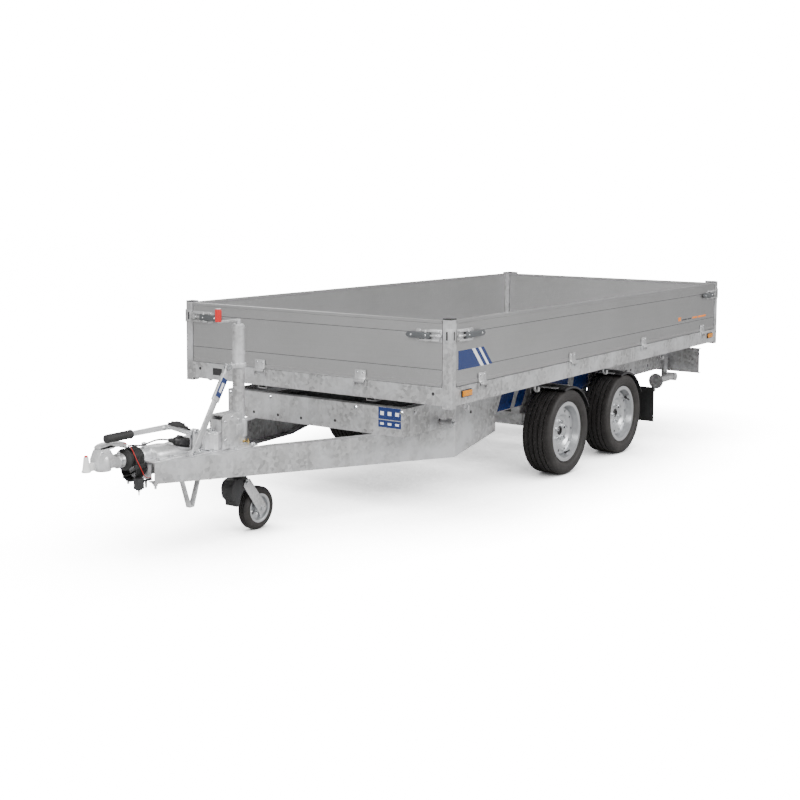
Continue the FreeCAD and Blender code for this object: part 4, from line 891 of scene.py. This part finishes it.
def hinges():
    """Straps with rolled knuckles, and their bolts."""
    for side, sign in (("left", -1), ("right", 1)):
        straps, bolts = Shell(), Shell()
        for x in SIDE_HINGES:
            outline = [(-sign * out, up) for out, up in STRAP]
            straps.slab(outline, (x - 35, sign * 931, 706), Y, Z, 70)
            straps.rod(9, (-35, 35), (x, sign * 931, 706), X, 18)
            for dx in (-20, 20):
                bolts.dome((x + dx, sign * 923.2, 752), Y * sign, 7)
        piece = straps.build(f"hinge_straps_{side}", f"board_{side}", "galvanised", ease=1)
        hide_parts(f"board_fittings_{side}")
        bolts.build(f"hinge_bolts_{side}", f"board_{side}", "polished_steel")
    straps, bolts = Shell(), Shell()
    for y in (-350, 350):
        straps.slab([(out, up) for out, up in STRAP], (-1075, y + 35, 706), X, Z, 70)
        straps.rod(9, (-35, 35), (-1075, y, 706), Y, 18)
        for dy in (-20, 20):
            bolts.dome((-1067.3, y + dy, 752), -X, 7)
    piece = straps.build("hinge_straps_front", "board_front", "galvanised", ease=1)
    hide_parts("board_fittings_front")
    bolts.build("hinge_bolts_front", "board_front", "polished_steel")


def latches():
    """Six corner latches: plate, channel walls, dark lever, rod, pin and screws."""
    for i, (body, start, away, along, face, end) in enumerate(LATCHES):
        out = -X if along is Y else Y * copysign(1, face)
        run = along * away
        flip = run.cross(Z).dot(out) > 0
        middle = 33

        def spot(u, off, height):
            ground = along * (start + away * u) + (X if along is Y else Y) * face
            return ground + out * off + Z * (LATCH_Z + height)

        def layer(shell, outline, low, high, look=0):
            """An outline along the board and up, between two distances off its face."""
            shell.slab(outline, spot(0, low if flip else high, 0), run, Z, high - low, look)

        steel, lever = Shell(), Shell()
        layer(steel, ((0, 0), (149, 0), (161, 8), (161, 58), (149, 66), (0, 66)), 0.3, 4.3)
        layer(steel, rect(8, 120, 6, 14), 4.3, 17.3)
        layer(steel, rect(8, 120, 52, 60), 4.3, 17.3)
        layer(steel, rect(6, 26, 22, 44), 4.3, 16)
        steel.rod(6, (-4, 74), spot(4, 12.3, middle), run, 16)
        steel.rod(8, (0, 58), spot(92, 12.3, 4), Z, 16)
        steel.build(f"latch_frame_{i}", body, "galvanised", ease=0.8)
        layer(lever, ((64, 16.5), (end - 26, 16.5), (end - 8, 22), (end, 33), (end - 8, 44),
                      (end - 26, 49.5), (64, 49.5)), 8.3, 21.3)
        lever.build(f"latch_lever_{i}", body, "black_steel", "lever_grey", ease=3.5)
        screws = Shell()
        for u, height in ((134, 10), (134, 56), (30, 33)):
            screws.dome(spot(u, 4.3 if u > 100 else 16, height), out, 5.5)
        for u in (92, end - 34):
            screws.dome(spot(u, 21.3, middle), out, 6)
        screws.build(f"latch_screws_{i}", body, "polished_steel")


def bed_fittings():
    """Hinge ears, tailboard seats, lashing hooks, the keepers round the posts, and painted shade
    for the keepers' slots.
    """
    work = Shell()
    for sign in (-1, 1):
        for x in SIDE_HINGES:
            for edge in (-40.3, 40.3):
                work.box((x + edge - 5, x + edge + 5), (sign * BED_SIDE, sign * 931.3), (682, 712))
        for edge in (-40.3, 40.3):
            y = sign * 350 + edge
            work.box((-1075.3, -1062.3), (y - 5, y + 5), (682, 712))
        work.box((BED_REAR, 2632), (sign * 868.3, sign * 903), (1043, 1070))
    for x in (-883, -130, 752, 1635):
        for sign in (-1, 1):
            hook = [(-sign * y, z) for y, z in (
                (5, 0), (-5, 0), (-5, -26), (-10, -32), (-20, -32), (-20, -14), (-30, -14),
                (-30, -36), (-22, -42), (-6, -42), (5, -32))]
            work.slab(hook, (x - 5, sign * 887, RAIL_BOTTOM), Y, Z, 10)
    for x, inward in ((BED_FRONT, 1), (BED_REAR, -1)):
        for y, to_middle in ((-918, 1), (918, -1)):
            wrap = [(x + inward * a, y + to_middle * b) for a, b in (
                (-4, -4), (44, -4), (44, -0.4), (-0.4, -0.4), (-0.4, 44), (-4, 44))]
            work.slab(wrap, (0, 0, LATCH_Z), X, Y, 72)
    piece = work.build("bed_ears", "bed", "galvanised", ease=0.9)
    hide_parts("bed_fittings")
    # Thin black strips on the keepers: painted shade where their slots are
    slots = Shell()
    for x, inward in ((BED_FRONT, 1), (BED_REAR, -1)):
        for sign in (-1, 1):
            for along, across in (((18, 28), (921.9, 922.3)), ((-3.9, -4.3), (890, 900))):
                slots.box([x + inward * v for v in along], [sign * v for v in across], (958, 1002))
    slots.build("keeper_slots", "bed", "black_plastic")


def marker_lamps():
    """Amber lenses with eased edges on black bases."""
    bases, lenses = Shell(), Shell()
    for x in (-962, 2420):
        for sign in (-1, 1):
            bases.box((x, x + 95), (sign * BED_SIDE, sign * 923), (656, 694))
            lenses.box((x + 4, x + 91), (sign * 923, sign * 931), (660, 690))
    piece = bases.build("marker_bases", "bed", "black_plastic", ease=1)
    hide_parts("marker_lamps")
    lenses.build("marker_lenses", "bed", "amber_lens", ease=3)


def plank_groove_shade():
    """Dark strips at the joints between a board's hollow planks: painted shade standing in for the
    grooves there.
    """
    along, across = (-1006, 2558), (-862, 862)
    for name, x, y in (("left", along, (-915.25, -914)), ("right", along, (914, 915.25)),
                       ("front", (-1059.25, -1058), across), ("rear", (2610, 2611.25), across)):
        joints = Shell()
        # Painted shade: a dark strip along each groove between two planks
        for z in (804, 989):
            joints.box(x, y, (z - 1.3, z + 1.3))
        joints.build(f"plank_groove_shade_{name}", f"board_{name}", "black_plastic", "dark_print_and_groove_shade")


def plate_marks():
    """Holes drawn as black discs, painted shade of their insides; screws, the bed's blank plate
    and the closed ends of the front channel.
    """
    holes = Shell()
    # The two black discs are painted shade for the bed's holes
    for y in (-811, 811):
        holes.rod(9, (0, 0.5), (BED_FRONT, y, 678), -X, 18)
    holes.slab(rect(0, 70, 0, 40), (BED_FRONT, 711, 648), -Y, Z, 0.8, chamfer=0.2)
    holes.build("bed_holes", "bed", "black_plastic")
    frame = Shell()
    # Black discs: painted shade for the frame's holes
    for y, z in ((243, 459), (77, 459), (-160, 470), (420, 459)):
        frame.rod(8, (0, 0.5), (FRAME_FRONT, y, z), -X, 18)
    for x in (-700, -380, 60, 700, 1500, 1760, 2050):
        frame.rod(9, (0, 0.5), (x, -RAIL_FACE, 470), -Y, 18)
    frame.build("frame_holes", "chassis", "black_plastic")
    ends = Shell()
    for y in (4 - RAIL_FACE, RAIL_FACE):
        ends.slab(rect(-1034, -979, 430, 570), (0, y, 0), X, Z, 4)
    ends.build("channel_ends", "chassis", "galvanised")
    screws = Shell()
    for y in (-600, -300, 300, 600):
        screws.bolt((FRAME_FRONT, y, 556), -X, 16)
    for x in (-940, -600, 1380, 1620, 2260):
        screws.bolt((x, -RAIL_FACE, 545), -Y, 17).bolt((x, RAIL_FACE, 545), Y, 17)
    for sign in (-1, 1):
        screws.bolt((-694, sign * 698, 459), Y * sign, 26)
    screws.build("frame_screws", "chassis", "polished_steel")


def decals():
    """Plain blue panels with white stripes, as bare colour."""
    for side, sign in (("left", -1), ("right", 1)):
        face = (0, -SIDE_FACE - 0.2 if sign < 0 else SIDE_FACE + 0.2 + FILM, 0)
        mark = Shell()
        # Blue and white by turns, each slanting forward to its top; the first starts upright
        for low_x, high_x, top_x, look in (
                (-988, -770, -988, 0), (-768, -738, -858, 1), (-736, -706, -826, 0),
                (-704, -682, -794, 1), (-680, -650, -770, 0)):
            mark.slab(((low_x, 800), (high_x, 800), (high_x - 90, 899), (top_x, 899)), face, X, Z,
                      FILM, look)
        # Plain bars where the board has its lettering: x, width, height, look
        for x, wide, high, look in ((1880, 46, 26, 2), (1945, 90, 9, 3), (2050, 70, 9, 3),
                                    (2140, 90, 13, 2), (2245, 150, 13, 2)):
            mark.slab(rect(x, x + wide, 824, 824 + high), face, X, Z, FILM, look)
        mark.build(f"board_mark_{side}", f"board_{side}", "aluminium", "blue_film",
                   "white_film", "orange_film", "dark_print_and_groove_shade")
    rail = Shell()
    for y in (-RAIL_FACE - 0.2, RAIL_FACE + 0.2 + FILM):
        for x0, x1, lean in ((-90, 60, 60), (110, 200, 60), (500, 780, 30), (860, 1080, 30)):
            rail.slab(((x0, 430), (x1, 430), (x1 + lean, 540), (x0 + lean, 540)), (0, y, 0), X, Z,
                      FILM)
    rail.build("rail_mark", "chassis", "aluminium", "blue_film")
    panels = Shell()
    left, right, bars = -596, -450, 3
    wide = (right - left) / bars
    for low, high in ((511, 574), (468, 506)):
        face = Vector((FRAME_FRONT - 0.2, 0, 0))
        panels.slab(rect(right, left, low, high), face, Y, Z, -FILM)
        inset = (high - low) * 0.34
        for i in range(bars):
            a = left + wide * (i + 0.26)
            panels.slab(rect(a + wide * 0.48, a, low + inset, high - inset), face - X * FILM, Y, Z,
                        -0.2, look=1)
    panels.build("front_mark", "chassis", "aluminium", "blue_film", "white_film")


cords()
coupling_head()
coupling_handle()
soft_bumper()
bellows()
overrun_housing()
junction()
handbrake()
jockey_clamp()
jockey_post()
jockey_fork()
jockey_wheel()
tyres()
wheel_details()
mudguards()
hinges()
latches()
bed_fittings()
marker_lamps()
plank_groove_shade()
plate_marks()
decals()


# Studio

def seen_directly(tree, others, camera_rays):
    """One amount for camera rays and another for all other light."""
    path = tree.nodes.new("ShaderNodeLightPath")
    spread = tree.nodes.new("ShaderNodeMapRange")
    spread.inputs["To Min"].default_value = others
    spread.inputs["To Max"].default_value = camera_rays
    tree.links.new(path.outputs["Is Camera Ray"], spread.inputs["Value"])
    return spread.outputs["Result"]


def studio():
    """A white floor that glows for the camera, with a painted contact shadow that darkens it only
    close to the trailer, white surroundings, soft boxes.
    """
    floor_mesh = bpy.data.meshes.new("studio_floor")
    reach = 40
    corners = [(x, y, 0) for x, y in rect(-reach, reach, -reach, reach)]
    floor_mesh.from_pydata(corners, [], [(0, 1, 2, 3)])
    floor = placed("studio_floor", floor_mesh)
    look = Look("studio_floor", (0.5, 0.5, 0.5), 0.9, Specular_IOR_Level=0.1)
    look.shader.inputs["Emission Color"].default_value = (1, 1, 1, 1)
    # Ambient occlusion dims the floor's glow near the trailer: a painted contact shadow
    near = look.node("AmbientOcclusion", Distance=0.9)
    near.samples = 8
    shade, lit = look.node("Math"), look.node("Math")
    shade.operation, lit.operation = "POWER", "MULTIPLY"
    shade.inputs[1].default_value = 2.5
    look.link(near.outputs["AO"], shade.inputs[0])
    look.link(shade.outputs["Value"], lit.inputs[0])
    look.link(seen_directly(look.tree, 0.0, 16.0), lit.inputs[1])
    look.link(lit.outputs["Value"], look.shader.inputs["Emission Strength"])
    floor_mesh.materials.append(look.material)

    world = bpy.data.worlds.new("studio_light")
    bpy.context.scene.world = world
    world.use_nodes = True
    glow = world.node_tree.nodes["Background"]
    glow.inputs["Color"].default_value = (1.0, 1.0, 1.0, 1)
    world.node_tree.links.new(seen_directly(world.node_tree, 0.62, 18.0), glow.inputs["Strength"])

    # Soft boxes: place, what they point at, width, height, watts
    for place, aim, width, height, power in (
            ((-8, -1.5, 6), (-0.5, 0, 0.6), 4, 3, 900),
            ((1, -7, 5), (0.5, 0, 0.5), 7, 2.5, 650),
            ((6, 9, 5), (0.5, 0, 0.6), 7, 4, 250)):
        light = bpy.data.lights.new("soft_box", "AREA")
        light.shape = "RECTANGLE"
        light.size = width
        light.size_y = height
        light.energy = power
        lamp = placed("soft_box", light)
        lamp.location = place
        lamp.rotation_euler = (Vector(aim) - Vector(place)).to_track_quat("-Z", "Y").to_euler()


def camera():
    """The photo's own view: solved from the wheels, posts, floor line and chassis edges."""
    yaw, pitch, roll = (radians(turn) for turn in (-57.4, -5.007, 0.522))
    ahead = Vector((sin(-yaw) * cos(pitch), cos(yaw) * cos(pitch),
                    sin(pitch)))
    right = ahead.cross(Vector((0, 0, 1))).normalized()
    up = right.cross(ahead)
    side = right * cos(roll) + up * sin(roll)
    top = up * cos(roll) - right * sin(roll)
    data = bpy.data.cameras.new("photo_camera")
    data.sensor_width = 36
    data.lens = 56.497
    data.shift_x = -0.07035
    data.shift_y = -0.11669
    data.clip_end = 200
    eye = placed("photo_camera", data)
    eye.matrix_world = Matrix((
        (side.x, top.x, -ahead.x, -6.3443), (side.y, top.y, -ahead.y, -4.3253),
        (side.z, top.z, -ahead.z, 1.6822), (0, 0, 0, 1)))
    bpy.context.scene.camera = eye


studio()
camera()
